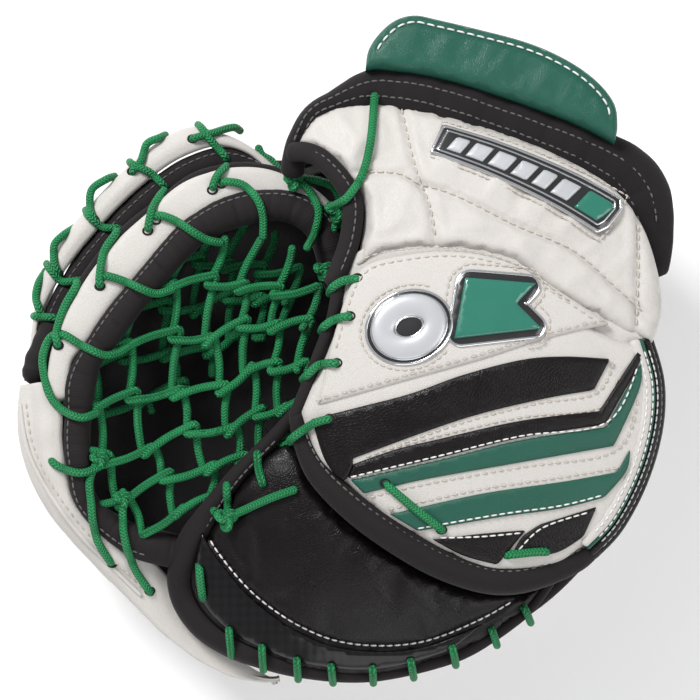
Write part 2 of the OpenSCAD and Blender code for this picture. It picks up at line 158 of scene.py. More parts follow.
def on_surface(flat, surface, up=0.0):
    """A flat path raised onto a surface, and up mm above it."""
    flat = np.asarray(flat, float)
    return np.column_stack([flat[:, 0], flat[:, 1], surface(flat[:, 0], flat[:, 1]) + up])


def rails(a, b, count):
    """Two curves as the same number of points, matched by their share of the length."""
    return count_along(spline(a), count), count_along(spline(b), count)


def to_path_distance(points, path, closed=False):
    """Distance from each point to a polyline, in plan."""
    points = np.asarray(points, float)[:, :2]
    path = np.asarray(path, float)[:, :2]
    if closed:
        path = np.vstack([path, path[:1]])
    best = np.full(len(points), 1e9)
    for a, b in zip(path[:-1], path[1:]):
        d = b - a
        t = np.clip(((points - a) @ d) / max(d @ d, 1e-9), 0, 1)
        best = np.minimum(best, np.linalg.norm(points - (a + t[:, None] * d), axis=1))
    return best


def inside(points, outline):
    points = np.asarray(points, float)
    x, y = points[:, 0], points[:, 1]
    result = np.zeros(len(points), bool)
    a = np.asarray(outline, float)
    b = np.roll(a, -1, 0)
    for (x0, y0), (x1, y1) in zip(a[:, :2], b[:, :2]):
        crosses = (y0 > y) != (y1 > y)
        result ^= crosses & (x < (x1 - x0) * (y - y0) / ((y1 - y0) or 1e-9) + x0)
    return result


# ---------- meshes ----------


def make(name, verts, faces, material, uv=None):
    mesh = bpy.data.meshes.new(name)
    mesh.from_pydata((np.asarray(verts, float) * MM).tolist(), [], faces)
    if uv is not None:
        layer = mesh.uv_layers.new(name="UVMap")
        loops = np.zeros(len(mesh.loops), np.int32)
        mesh.loops.foreach_get("vertex_index", loops)
        layer.data.foreach_set("uv", np.asarray(uv, float)[loops].ravel())
    mesh.polygons.foreach_set("use_smooth", [True] * len(mesh.polygons))
    mesh.materials.append(material)
    obj = bpy.data.objects.new(name, mesh)
    bpy.context.scene.collection.objects.link(obj)
    return obj


def join_lists(parts):
    """Several (verts, faces, uv) meshes as one."""
    verts, faces, uvs, base = [], [], [], 0
    for v, f, uv in parts:
        verts.append(v)
        faces += [[i + base for i in face] for face in f]
        uvs.append(uv)
        base += len(v)
    return np.vstack(verts), faces, np.vstack(uvs)


def joined(name, parts, material, with_uv=False):
    """Several meshes as one object."""
    verts, faces, uv = join_lists(parts)
    return make(name, verts, faces, material, uv if with_uv else None)


def tube_mesh(path, wide, high=None, sides=12, up=(0, 0, 1), closed=False, round_ends=True, shape=None):
    """A closed tube along a path. wide and high are half sizes, numbers or one per point. With up None the
    section turns as little as it can, for a path that may run upwards."""
    path = np.asarray(path, float)
    count = len(path)
    wide = np.broadcast_to(np.asarray(wide, float), (count,)).copy()
    high = wide.copy() if high is None else np.broadcast_to(np.asarray(high, float), (count,)).copy()
    if round_ends and not closed:
        start, end = path[0], path[-1]
        t0, t1 = unit(path[0] - path[1]), unit(path[-1] - path[-2])
        angles = np.radians([75, 50, 25])
        head = [start + t0 * min(wide[0], high[0]) * math.sin(a) for a in angles]
        tail = [end + t1 * min(wide[-1], high[-1]) * math.sin(a) for a in angles[::-1]]
        scale = np.cos(angles)
        path = np.vstack([head, path, tail])
        wide = np.concatenate([wide[0] * scale, wide, wide[-1] * scale[::-1]])
        high = np.concatenate([high[0] * scale, high, high[-1] * scale[::-1]])
        count = len(path)
    t = tangents(path, closed)
    if up is None:
        side = np.zeros_like(path)
        ref = np.array([0, 0, 1.0]) if abs(t[0][2]) < 0.9 else np.array([1.0, 0, 0])
        side[0] = unit(np.cross(t[0], ref))
        for i in range(1, count):
            s = side[i - 1] - t[i] * np.dot(side[i - 1], t[i])
            side[i] = unit(s)
    else:
        side = unit(np.cross(t, np.asarray(up, float)))
    lift = np.cross(side, t)
    angle = np.linspace(0, 2 * math.pi, sides, endpoint=False)
    ca, sa = np.cos(angle), np.sin(angle)
    if shape is not None:
        ca, sa = shape(ca, sa)
    rings = (path[:, None] + side[:, None] * (wide[:, None] * ca[None])[..., None]
             + lift[:, None] * (high[:, None] * sa[None])[..., None])
    verts = rings.reshape(-1, 3)
    length = run_length(path)
    uv = np.column_stack([np.tile(np.arange(sides) / sides, count), np.repeat(length, sides)])
    faces = []
    for i in range(count if closed else count - 1):
        a, b = i * sides, ((i + 1) % count) * sides
        for k in range(sides):
            n = (k + 1) % sides
            faces.append([a + k, b + k, b + n, a + n])
    if not closed:
        faces.append(list(range(sides)))
        faces.append([(count - 1) * sides + k for k in range(sides - 1, -1, -1)])
    return verts, faces, uv


def tube(name, path, wide, material, **options):
    verts, faces, uv = tube_mesh(path, wide, **options)
    return make(name, verts, faces, material, uv)


def stitch_row(path, length=3.3, pitch=4.6, radius=0.45, lift=0.35):
    """Thread stitches along a path: each one rises from the leather and dips back."""
    path = even(path, 0.4)
    per = max(3, int(round(length / 0.4)))
    skip = max(per + 1, int(round(pitch / 0.4)))
    parts = []
    for start in range(0, len(path) - per, skip):
        run = path[start:start + per + 1]
        pick = run[np.linspace(0, len(run) - 1, 6).round().astype(int)].copy()
        pick[:, 2] += lift * np.array([-0.6, 0.55, 1, 1, 0.55, -0.6])
        parts.append(tube_mesh(pick, radius * np.array([0.7, 1, 1, 1, 1, 0.7]), sides=6,
                               round_ends=False))
    return parts


def stitches(name, paths, material, **options):
    return joined(name, [part for path in paths for part in stitch_row(path, **options)], material)


def plan_points(rim, lines, cell, soft):
    """Points that fill an outline: its rim, rows beside the rim and the seams, and a triangle grid."""
    rows = []
    for distance in (1.6, 3.6) if soft else (0.8,):
        for sign in (1, -1):
            row = rim + sign * distance * left_of(rim, True)
            row = row[inside(row, rim)]
            rows.append(row[to_path_distance(row, rim, True) > distance * 0.8])
    for line in lines:
        for offset in (-2.4, -1.0, 0, 1.0, 2.4):
            row = line + offset * left_of(line)
            row = row[inside(row, rim)]
            if len(row):
                rows.append(row[to_path_distance(row, rim, True) > 1.2])
    low, high = rim.min(0), rim.max(0)
    xs = np.arange(low[0], high[0], cell)
    ys = np.arange(low[1], high[1], cell * 0.866)
    grid = np.array([(x + (cell / 2 if j % 2 else 0), y) for j, y in enumerate(ys) for x in xs])
    grid = grid[inside(grid, rim)]
    grid = grid[to_path_distance(grid, rim, True) > (5.0 if soft else 1.8)]
    for line in lines:
        grid = grid[to_path_distance(grid, line) > 3.6]
    points = np.vstack([rim] + [r for r in rows if len(r)] + [grid])
    seen, keep = set(), []
    for i, key in enumerate(map(tuple, np.round(points / 0.7).astype(int))):
        if i < len(rim) or key not in seen:
            keep.append(i)
        seen.add(key)
    return points[keep]


def triangles(points, count):
    """The points joined to triangles inside an outline, which is their first count points."""
    rim_edges = [(i, (i + 1) % count) for i in range(count)]
    result = delaunay_2d_cdt([Vector(p) for p in points], rim_edges, [list(range(count))], 1, 1e-5)
    return np.array([tuple(v) for v in result[0]]), [list(t) for t in result[2]]


PUFF_REACH = 14.0


def panel_mesh(outline, surface, thick, cell=3.0, edge=5.0, seams=(), groove=1.2, groove_w=2.6, puff=0.0,
               wrinkle=0.0):
    """A padded panel: the outline filled with points, raised to a surface, rounded at its edge and
    pressed in along its seams. Returns a closed mesh."""
    rim = even(outline, cell * 0.8, closed=True)
    lines = [even(np.asarray(s)[:, :2], 2.0) for s in seams]
    flat, tris = triangles(plan_points(rim, lines, cell, edge > 2.5), len(rim))
    away = to_path_distance(flat, rim, True)
    z = surface(flat[:, 0], flat[:, 1])
    if edge > 0:
        d = np.clip(edge - away, 0, edge)
        z = z - (edge - np.sqrt(np.maximum(edge ** 2 - d ** 2, 0)))
    near = away.copy()
    for line in lines:
        d = to_path_distance(flat, line)
        z = z - groove * np.exp(-(d / groove_w) ** 2)
        near = np.minimum(near, d)
    z = z - puff * np.exp(-(near / PUFF_REACH) ** 2)
    if wrinkle:
        z = z + wrinkle * ripple(flat)
    top = np.column_stack([flat, z])
    bottom = top - np.array([0, 0, thick])
    n = len(top)
    edges = {(t[i], t[(i + 1) % 3]): True for t in tris for i in range(3)}
    walls = [[b, a, a + n, b + n] for a, b in edges if (b, a) not in edges]
    faces = tris + [[i + n for i in t[::-1]] for t in tris] + walls
    return np.vstack([top, bottom]), faces, np.vstack([flat, flat]) * 0.1


def ripple(flat):
    """Soft, seeded wrinkles over a plan."""
    rng = np.random.RandomState(11)
    total = np.zeros(len(flat))
    for k in range(10):
        direction = rng.uniform(0, math.pi)
        pitch = rng.uniform(14, 46)
        phase = rng.uniform(0, 2 * math.pi)
        wave = flat[:, 0] * math.cos(direction) + flat[:, 1] * math.sin(direction)
        bend = 1.4 * np.sin(flat[:, 1] / 23.0 + k)
        total += np.sin(wave * 2 * math.pi / pitch + phase + bend) / 10 * (pitch / 46)
    return total


def panel(name, outline, surface, thick, material, **options):
    verts, faces, uv = panel_mesh(outline, surface, thick, **options)
    return make(name, verts, faces, material, uv)


def sheet_mesh(rows_top, rows_under):
    """A closed skin between two grids of points, rows along the sheet."""
    top = np.asarray(rows_top, float)
    under = np.asarray(rows_under, float)
    n, m = top.shape[:2]
    verts = np.vstack([top.reshape(-1, 3), under.reshape(-1, 3)])
    base = n * m
    faces = []
    for i in range(n - 1):
        for j in range(m - 1):
            a, b, c, d = i * m + j, i * m + j + 1, (i + 1) * m + j + 1, (i + 1) * m + j
            faces.append([a, b, c, d])
            faces.append([base + d, base + c, base + b, base + a])
    rim = [i * m for i in range(n)] + [(n - 1) * m + j for j in range(1, m)]
    rim += [i * m + m - 1 for i in range(n - 2, -1, -1)] + [j for j in range(m - 2, 0, -1)]
    for k, a in enumerate(rim):
        b = rim[(k + 1) % len(rim)]
        faces.append([a, b, base + b, base + a][::-1])
    length, across = run_length(top[:, 0]), run_length(top[0])
    uv = np.array([(across[j], length[i]) for i in range(n) for j in range(m)])
    return verts, faces, np.vstack([uv, uv])


def sheet(name, rows, under, material):
    return make(name, *sheet_mesh(rows, under)[:2], material)


def fix_normals(obj):
    bm = bmesh.new()
    bm.from_mesh(obj.data)
    bmesh.ops.recalc_face_normals(bm, faces=bm.faces)
    bm.to_mesh(obj.data)
    bm.free()
    return obj


def surface_of(*objs):
    """Height of the highest of the given meshes at a plan point, in mm, or None beside them."""
    trees = []
    for obj in objs:
        mesh = obj.data
        trees.append(BVHTree.FromPolygons([v.co for v in mesh.vertices],
                                          [p.vertices for p in mesh.polygons]))

    def height(x, y):
        hits = [tree.ray_cast(Vector((x * MM, y * MM, 0.5)), Vector((0, 0, -1)))[0] for tree in trees]
        hits = [hit.z / MM for hit in hits if hit is not None]
        return max(hits) if hits else None
    return height


def drape(points, height, up=LACE_R, step=1.4):
    """A path over a surface. A point with three numbers is used as it is."""
    given = [len(p) == 3 for p in points]
    full = []
    for p, has in zip(points, given):
        z = p[2] if has else height(p[0], p[1])
        full.append((p[0], p[1], np.nan if z is None else (z if has else z + up)))
    full = np.array(full, float)
    missing = np.isnan(full[:, 2])
    order = np.arange(len(full))
    full[missing, 2] = np.interp(order[missing], order[~missing], full[~missing, 2])
    path = even(spline(full, 10), step)
    spot = [int(np.argmin(np.linalg.norm(path[:, :2] - q[:2], axis=1))) for q in full]
    first = spot[given.index(False)] if False in given else len(path)
    last = spot[len(given) - 1 - given[::-1].index(False)] if False in given else 0
    z = path[:, 2].copy()
    for i in range(first, last + 1):
        hit = height(path[i, 0], path[i, 1])
        if hit is not None:
            z[i] = max(hit + up, z[i] - 3.0)
    if last > first:
        padded = np.concatenate([z[:1], z[:1], z, z[-1:], z[-1:]])
        z = (padded[:-4] + 2 * padded[1:-3] + 3 * padded[2:-2] + 2 * padded[3:-1] + padded[4:]) / 9
    return np.column_stack([path[:, :2], z])


def laces(name, paths, height, extra=()):
    """Braided laces laid over a surface, joined as one piece."""
    parts = [tube_mesh(drape(p, height), LACE_R, sides=12, up=None) for p in paths] + list(extra)
    return joined(name, parts, LACE, with_uv=True)


def knot(x, y, z, size=2.0):
    """A small overhand knot."""
    t = np.linspace(0, 2 * math.pi, 64, endpoint=False)
    path = np.column_stack([x + size * (np.sin(t) + 1.4 * np.sin(2 * t)),
                            y + size * (np.cos(t) - 1.4 * np.cos(2 * t)), z - 1.6 * np.sin(3 * t)])
    return tube_mesh(path, LACE_R * 0.95, sides=10, closed=True, up=None)


def puff_cloth(obj, held, pressure=4.0, cap=2.2, growth=0.03):
    """Cloth filled by pressure: held points stay, the rest swells and wrinkles, by cap mm at the most."""
    scene = bpy.context.scene
    rest = np.array([v.co for v in obj.data.vertices])
    group = obj.vertex_groups.new(name="held")
    group.add([int(i) for i in np.flatnonzero(held)], 1.0, "REPLACE")
    cloth_modifier = obj.modifiers.new("cloth", "CLOTH")
    settings = cloth_modifier.settings
    settings.quality = 4
    settings.mass = 0.2
    settings.tension_stiffness = 20
    settings.compression_stiffness = 8
    settings.shear_stiffness = 8
    settings.bending_stiffness = 0.6
    settings.use_pressure = True
    settings.uniform_pressure_force = pressure
    settings.shrink_min = -growth
    settings.vertex_group_mass = "held"
    settings.effector_weights.gravity = 0
    cloth_modifier.point_cache.frame_start = 1
    cloth_modifier.point_cache.frame_end = 20
    for number in range(1, 21):
        scene.frame_set(number)
    moved = obj.evaluated_get(bpy.context.evaluated_depsgraph_get()).data
    shift = np.array([v.co for v in moved.vertices]) - rest
    length = np.linalg.norm(shift, axis=1, keepdims=True)
    shift *= np.minimum(1.0, cap * MM / np.maximum(length, 1e-9))
    obj.modifiers.remove(cloth_modifier)
    obj.vertex_groups.remove(group)
    scene.frame_set(1)
    obj.data.vertices.foreach_set("co", (rest + shift).ravel())
    obj.data.update()
    return obj


def puffed_panel(name, outline, surface, thick, material, pressure=4.0, cap=2.2, growth=0.03, **options):
    """A panel whose top is then filled like a cushion; its rim, its seams and its underside are held."""
    verts, faces, uv = panel_mesh(outline, surface, thick, **options)
    obj = make(name, verts, faces, material, uv)
    half = len(verts) // 2
    top = verts[:half, :2]
    held = to_path_distance(top, even(outline, 2.0, closed=True), True) < 1.2
    for seam in options.get("seams", ()):
        held |= to_path_distance(top, even(np.asarray(seam)[:, :2], 2.0)) < 1.3
    return puff_cloth(obj, np.concatenate([held, np.ones(half, bool)]), pressure, cap, growth)


def on_tube(mid, half, z, high, share):
    """A path on the top of a band between two rails: share 1 is its left edge, -1 its right edge."""
    flat = mid[:, :2] + share * half[:, None] * left_of(mid)
    return np.column_stack([flat, z + high * math.sqrt(1 - share ** 2)])


def slab(name, node, material, round_by=0.8, grow=0.0):
    """A soft-edged strap or patch over one box-shaped solid."""
    low, high = node_box(node)
    low, high = low - grow, high + grow
    bm = bmesh.new()
    bmesh.ops.create_cube(bm, size=1.0)
    for v in bm.verts:
        v.co = Vector([(low[k] + (v.co[k] + 0.5) * (high[k] - low[k])) * MM for k in range(3)])
    bmesh.ops.subdivide_edges(bm, edges=bm.edges[:], cuts=10, use_grid_fill=True)
    width = min(round_by, min(high - low) * 0.45) * MM
    edges = [e for e in bm.edges if e.calc_face_angle(0) > 0.5]
    bmesh.ops.bevel(bm, geom=edges, offset=width, segments=3, affect="EDGES", profile=0.7)
    mesh = bpy.data.meshes.new(name)
    bm.to_mesh(mesh)
    bm.free()
    mesh.polygons.foreach_set("use_smooth", [True] * len(mesh.polygons))
    mesh.materials.append(material)
    obj = bpy.data.objects.new(name, mesh)
    bpy.context.scene.collection.objects.link(obj)
    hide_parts(node)
    return obj


# ---------- materials ----------


class Nodes:
    """Short names for building a node material."""

    def __init__(self, name):
        self.material = bpy.data.materials.new(name)
        self.material.use_nodes = True
        self.tree = self.material.node_tree
        self.shader = self.tree.nodes["Principled BSDF"]
        coord = self.tree.nodes.new("ShaderNodeTexCoord")
        self.place = coord.outputs["Object"]
        self.uv = coord.outputs["UV"]

    def add(self, kind, **values):
        """A node; a value is an input's where the node has one of that name, else a property."""
        node = self.tree.nodes.new("ShaderNode" + kind)
        for key, value in values.items():
            if key in node.inputs:
                self.put(node.inputs[key], value)
            else:
                setattr(node, key, value)
        return node

    def put(self, socket, value):
        if hasattr(value, "links"):
            self.tree.links.new(value, socket)
        else:
            socket.default_value = value

    def math(self, operation, a, b=0.0, c=0.0):
        node = self.tree.nodes.new("ShaderNodeMath")
        node.operation = operation
        for socket, value in zip(node.inputs, (a, b, c)):
            self.put(socket, value)
        return node.outputs[0]

    def noise(self, scale, detail=3.0, rough=0.55):
        return self.add("TexNoise", Scale=scale, Detail=detail, Roughness=rough,
                        Vector=self.place).outputs["Fac"]

    def cells(self, scale):
        node = self.add("TexVoronoi", feature="DISTANCE_TO_EDGE", Scale=scale, Vector=self.place)
        return node.outputs["Distance"]

    def ramp(self, value, low, high, a=0.0, b=1.0):
        node = self.add("MapRange")
        for key, item in (("Value", value), ("From Min", low), ("From Max", high),
                          ("To Min", a), ("To Max", b)):
            self.put(node.inputs[key], item)
        return node.outputs["Result"]

    def mix(self, factor, a, b):
        node = self.add("Mix", data_type="RGBA")
        self.put(node.inputs[0], factor)
        self.put(node.inputs[6], a)
        self.put(node.inputs[7], b)
        return node.outputs[2]

    def bump(self, height, strength, distance):
        return self.add("Bump", Strength=strength, Distance=distance, Height=height).outputs["Normal"]

    def finish(self, **values):
        for key, value in values.items():
            self.put(self.shader.inputs[key.replace("_", " ")], value)
        return self.material


def shade(color, k):
    return tuple(min(1.0, c * k) for c in color[:3]) + (1.0,)


def leather(name, color, rough, grain=1.0, dirt=0.12, grain_scale=900.0, shine=0.5):
    """Grained leather: cells with creases between them, soft colour changes and painted shade that darkens
    the creases between the cells.
    """
    n = Nodes(name)
    pebble = n.ramp(n.cells(grain_scale), 0.0, 0.16)
    fine = n.noise(grain_scale * 2.2, 2.0)
    crease = n.noise(120.0, 5.0, 0.62)
    height = n.math("ADD", n.math("MULTIPLY", pebble, 0.7), n.math("MULTIPLY", fine, 0.35))
    height = n.math("ADD", height, n.math("MULTIPLY", crease, 1.2))
    normal = n.bump(height, 0.32 * grain, 0.00035)
    cloud = n.ramp(n.noise(22.0, 4.0), 0.35, 0.75)
    base = n.mix(n.math("MULTIPLY", cloud, dirt * 2.0), shade(color, 1.0), shade(color, 1 - 2.2 * dirt))
    # painted shade: the colour is darkened in the creases between the grain cells
    base = n.mix(n.math("MULTIPLY", n.math("SUBTRACT", 1.0, pebble), 0.18), base, shade(color, 0.6))
    roughness = n.ramp(n.noise(60.0, 3.0), 0.3, 0.7, rough - 0.07, rough + 0.09)
    return n.finish(Base_Color=base, Roughness=roughness, Normal=normal, Specular_IOR_Level=shine)


def webbing(name, color):
    """Woven nylon binding: fine ribs across the tape."""
    n = Nodes(name)
    split = n.add("SeparateXYZ")
    n.put(split.inputs[0], n.uv)
    rib = n.math("SINE", n.math("MULTIPLY", split.outputs[1], 2 * math.pi / 0.9))
    weft = n.math("SINE", n.math("MULTIPLY", split.outputs[0], 2 * math.pi * 40))
    weave = n.math("ADD", n.math("MULTIPLY", rib, 0.5),
                   n.math("MULTIPLY", n.math("MULTIPLY", rib, weft), 0.5))
    fuzz = n.noise(700.0, 3.0)
    normal = n.bump(n.math("ADD", weave, n.math("MULTIPLY", fuzz, 0.8)), 0.35, 0.0003)
    # painted shade and highlight: the raised threads of the ribs are lighter and the hollows between them
    # darker in the colour
    base = n.mix(n.ramp(weave, -1, 1), shade(color, 0.75), shade(color, 1.25))
    base = n.mix(n.ramp(n.noise(35.0, 3.0), 0.4, 0.8, 0, 0.35), base, shade(color, 1.6))
    return n.finish(Base_Color=base, Roughness=0.78, Normal=normal, Sheen_Weight=0.06, Sheen_Roughness=0.4,
                    Specular_IOR_Level=0.25)


def cloth(name, color, rough=0.85):
    """Brushed nylon cloth, woven in the object's own space."""
    n = Nodes(name)
    split = n.add("SeparateXYZ")
    n.put(split.inputs[0], n.place)
    a = n.math("SINE", n.math("MULTIPLY", n.math("ADD", split.outputs[0], split.outputs[2]), 5200.0))
    b = n.math("SINE", n.math("MULTIPLY", split.outputs[1], 5200.0))
    weave = n.math("MULTIPLY", a, b)
    normal = n.bump(n.math("ADD", weave, n.math("MULTIPLY", n.noise(90.0, 4.0), 6.0)), 0.3, 0.0003)
    # painted shade and highlight: the raised threads of the weave are lighter and the hollows between them
    # darker in the colour
    base = n.mix(n.ramp(weave, -1, 1), shade(color, 0.8), shade(color, 1.2))
    return n.finish(Base_Color=base, Roughness=rough, Normal=normal, Sheen_Weight=0.08, Sheen_Roughness=0.5,
                    Specular_IOR_Level=0.25)


def braid(name, color):
    """Braided round lace: two families of threads that cross in a herringbone."""
    n = Nodes(name)
    split = n.add("SeparateXYZ")
    n.put(split.inputs[0], n.uv)
    side = n.math("PINGPONG", n.math("MULTIPLY", split.outputs[0], 4.0), 0.5)
    run = n.math("DIVIDE", split.outputs[1], 1.7)
    twist = n.math("ADD", run, n.math("MULTIPLY", side, 1.5))
    strand = n.math("SINE", n.math("MULTIPLY", twist, 2 * math.pi))
    ridge = n.math("ABSOLUTE", n.math("SUBTRACT", side, 0.25))
    height = n.math("SUBTRACT", strand, n.math("MULTIPLY", ridge, 2.4))
    normal = n.bump(height, 0.8, 0.0005)
    # painted shade and highlight: the grooves between the strands are darkened and the strand tops lightened
    # in the colour
    base = n.mix(n.ramp(height, -1.5, 0.6), shade(color, 0.35), shade(color, 1.2))
    base = n.mix(n.ramp(n.noise(60.0, 2.0), 0.4, 0.7, 0, 0.3), base, shade(color, 1.4))
    return n.finish(Base_Color=base, Roughness=0.55, Normal=normal, Specular_IOR_Level=0.35)


def carbon(name):
    """Glossy black sheet with a twill look."""
    n = Nodes(name)
    split = n.add("SeparateXYZ")
    n.put(split.inputs[0], n.place)
    a = n.math("SINE", n.math("MULTIPLY", n.math("ADD", split.outputs[0], split.outputs[1]), 620.0))
    b = n.math("SINE", n.math("MULTIPLY", n.math("SUBTRACT", split.outputs[0], split.outputs[1]), 620.0))
    twill = n.math("MULTIPLY", a, b)
    base = n.mix(n.ramp(twill, -0.5, 0.5), (0.003, 0.0025, 0.003, 1), (0.006, 0.005, 0.006, 1))
    normal = n.bump(n.math("ADD", twill, n.math("MULTIPLY", n.noise(160.0, 3.0), 2.0)), 0.16, 0.0003)
    return n.finish(Base_Color=base, Roughness=0.26, Normal=normal, Coat_Weight=0.06, Coat_Roughness=0.15,
                    Specular_IOR_Level=0.28)


def plain(name, color, rough, metal=0.0, coat=0.0):
    """Moulded plastic or metal with faint unevenness."""
    n = Nodes(name)
    normal = n.bump(n.noise(400.0, 3.0), 0.06, 0.0002)
    roughness = n.ramp(n.noise(80.0, 3.0), 0.3, 0.7, max(rough - 0.05, 0.02), rough + 0.06)
    base = n.mix(n.ramp(n.noise(50.0, 2.0), 0.4, 0.7, 0, 0.3), shade(color, 1.0), shade(color, 0.85))
    return n.finish(Base_Color=base, Roughness=roughness, Metallic=metal, Normal=normal, Coat_Weight=coat)


def thread(name, color):
    n = Nodes(name)
    normal = n.bump(n.noise(2500.0, 2.0), 0.4, 0.0002)
    base = n.mix(n.ramp(n.noise(500.0, 2.0), 0.3, 0.7), shade(color, 0.85), shade(color, 1.1))
    return n.finish(Base_Color=base, Roughness=0.6, Normal=normal, Sheen_Weight=0.2)


WHITE = leather("white_leather", (0.56, 0.535, 0.505), 0.44, grain=1.3, dirt=0.05, shine=0.35)
BLACK = leather("black_leather", (0.0045, 0.0030, 0.0032), 0.33, grain=1.1, dirt=0.2, grain_scale=700.0,
                shine=0.25)
GREEN = leather("green_leather", (0.014, 0.092, 0.062), 0.38, dirt=0.16, shine=0.3)
LINING = leather("catching_leather", (0.0055, 0.0042, 0.0045), 0.44, grain=1.0, dirt=0.2, shine=0.25)
BINDING = webbing("binding_webbing", (0.0105, 0.0078, 0.0085))
NYLON = cloth("nylon_cloth", (0.0095, 0.0072, 0.0080))
LACE = braid("green_lace", (0.014, 0.235, 0.078))
CARBON = carbon("gloss_edge_sheet")
CHROME = plain("badge_chrome", (0.75, 0.76, 0.78), 0.16, metal=1.0)
BADGE_BLACK = plain("badge_black", (0.012, 0.012, 0.013), 0.3, coat=0.4)
BADGE_GREEN = plain("badge_green", (0.015, 0.16, 0.11), 0.28, coat=0.6)
SILVER = plain("badge_silver", (0.50, 0.51, 0.53), 0.36, metal=0.2, coat=0.3)
PLASTIC = plain("stiffener_plastic", (0.04, 0.04, 0.045), 0.45)
HOOK = cloth("hook_and_loop", (0.02, 0.02, 0.022), 0.95)
WHITE_THREAD = thread("white_thread", (0.72, 0.72, 0.70))
SAND_THREAD = thread("sand_thread", (0.50, 0.46, 0.40))
GREY_THREAD = thread("grey_thread", (0.095, 0.088, 0.09))

# ---------- cuff ----------

CUFF_TOP = [(-23, 120), (-12, 139), (14, 144), (49, 137), (87, 125), (120, 111), (147, 95), (164, 75),
            (173, 48),
            (175, 25), (169, 7)]
CUFF_SEAM = [(146, 16), (118, 31), (98, 46), (76, 54), (54, 57), (34, 56), (17, 52), (5, 44)]
CUFF_LEFT = [(10, 55), (13, 72), (12, 86), (4, 100), (-8, 110), (-17, 116)]
cuff_outline = np.vstack([spline(CUFF_TOP), spline(CUFF_SEAM), spline(CUFF_LEFT)])

QUILT = [
    spline([(32, 150), (35, 131), (42, 99), (49, 80), (53, 50)]),
    spline([(10, 101), (31, 100), (43, 94), (63, 87), (94, 71), (126, 57), (147, 39), (166, 22)]),
    spline([(161, 92), (162, 67), (161, 36), (159, 4)]),
]

cuff_surface = raised(-0.5)
cuff_panel = puffed_panel("cuff_panel", cuff_outline, cuff_surface, 16, WHITE, edge=7, seams=QUILT,
                          groove=1.5,
                          puff=0.8, wrinkle=0.4)


def surface_rows(lines, surface, up, trim=None):
    rows = []
    for line in lines:
        flat = even(np.asarray(line)[:, :2], 1.0)
        if trim is not None:
            flat = flat[inside(flat, trim) & (to_path_distance(flat, trim, True) > 3)]
        if len(flat) > 4:
            rows.append(on_surface(flat, surface, up))
    return rows


cuff_stitches = stitches("cuff_stitches", surface_rows(QUILT, cuff_surface, -1.9, cuff_outline),
                         SAND_THREAD, pitch=5.2, length=3.6)

CUFF_ROLL_OUT = [(-33, 108, 114), (-29, 124, 119), (-20, 139, 124), (-5, 149, 128), (8, 157, 131),
                 (22, 161, 133),
            (54, 157, 134), (91, 145, 133), (128, 133, 131), (152, 124, 129), (167, 116, 127),
                 (175, 106, 124),
            (178, 92, 119), (178, 76, 114), (176, 60, 110)]
CUFF_ROLL_IN = [(-20, 104, 126), (-19, 114, 130), (-13, 131, 133), (0, 137, 134), (14, 139, 135),
                (30, 137, 135),
           (52, 132, 135), (87, 120, 135), (120, 106, 134), (140, 95, 132), (152, 84, 130), (161, 70, 127),
           (167, 56, 122), (170, 48, 118), (172, 42, 114)]


CUFF_ROLL_POINTS = 110
roll_out, roll_in = rails(CUFF_ROLL_OUT, CUFF_ROLL_IN, CUFF_ROLL_POINTS)
cuff_roll_mid = (roll_out + roll_in) / 2
cuff_roll_half = np.linalg.norm((roll_out - roll_in)[:, :2], axis=1) / 2
cuff_roll_share = np.linspace(0, 1, CUFF_ROLL_POINTS)
cuff_roll_high = np.interp(cuff_roll_share, [0, 0.12, 0.85, 1], [4.5, 8, 8.5, 4])
cuff_roll_step = np.arange(CUFF_ROLL_POINTS)
cuff_roll_mid[:, 2] += 0.6 * np.sin(cuff_roll_step * 0.55) + 0.4 * np.sin(cuff_roll_step * 1.3)
cuff_roll = tube("cuff_roll", cuff_roll_mid, cuff_roll_half, NYLON, high=cuff_roll_high, sides=28)
cuff_roll_rows = [on_tube(cuff_roll_mid, cuff_roll_half, cuff_roll_mid[:, 2], 8.2, share)[6:100]
                  for share in (0.25, -0.45)]
cuff_roll_stitches = stitches("cuff_roll_stitches", cuff_roll_rows, GREY_THREAD, pitch=4.6)

EDGE_BINDING = [(-26, 114.5, 131), (-19, 113.5, 137), (-10, 109, 141), (0, 98, 145), (6, 87, 147),
                (7, 76, 149),
                (5, 62, 150), (1, 50, 151), (-3, 40, 152)]
edge_binding_path = even(spline(EDGE_BINDING), 1.5)
cuff_edge_binding = tube("cuff_edge_binding", edge_binding_path, 5.6, BINDING, high=3.8, sides=18)
edge_binding_row = edge_binding_path + np.array([1.5, 0.5, 3.6])
cuff_edge_stitches = stitches("cuff_edge_stitches", [edge_binding_row[3:-3]], GREY_THREAD, pitch=4.4)

WALL_FOOT = 95
WALL_FOLDS = [(3.0, 1.0), (2.2, 0.72), (3.8, 0.45), (2.4, 0.2), (3.6, 0.0)]
edge_wall = []
for p in [q for q in edge_binding_path[:-4:2] if q[0] > -4 or q[1] < 60]:
    depth = p[2] - 1 - WALL_FOOT
    fold = [(p[0] + out, p[1] + 0.3 * out, WALL_FOOT + depth * share) for out, share in WALL_FOLDS]
    edge_wall.append(count_along(spline(fold, 5), 20))
edge_wall = np.array(edge_wall)
cuff_gusset = sheet("cuff_gusset", edge_wall, edge_wall + np.array([3.0, 0, 0]), NYLON)

# ---------- thumb panel ----------

THUMB_SEAM = [(2, 38), (15, 49), (34, 53), (54, 54), (76, 51), (98, 43), (118, 28), (145, 12), (162, 7)]
THUMB_RIGHT = [(167.5, -14), (166.5, -38), (159, -64), (141, -96)]
THUMB_LOW = [(129, -104), (119, -111), (102, -115), (83, -116), (68, -111), (45, -99), (20, -83), (5, -70),
             (-10, -59), (-17, -46), (-22, -30)]
THUMB_LEFT = [(-15, -13), (-7, 4), (-1, 20)]
thumb_outline = np.vstack([spline(THUMB_SEAM), spline(THUMB_RIGHT), spline(THUMB_LOW), spline(THUMB_LEFT)])

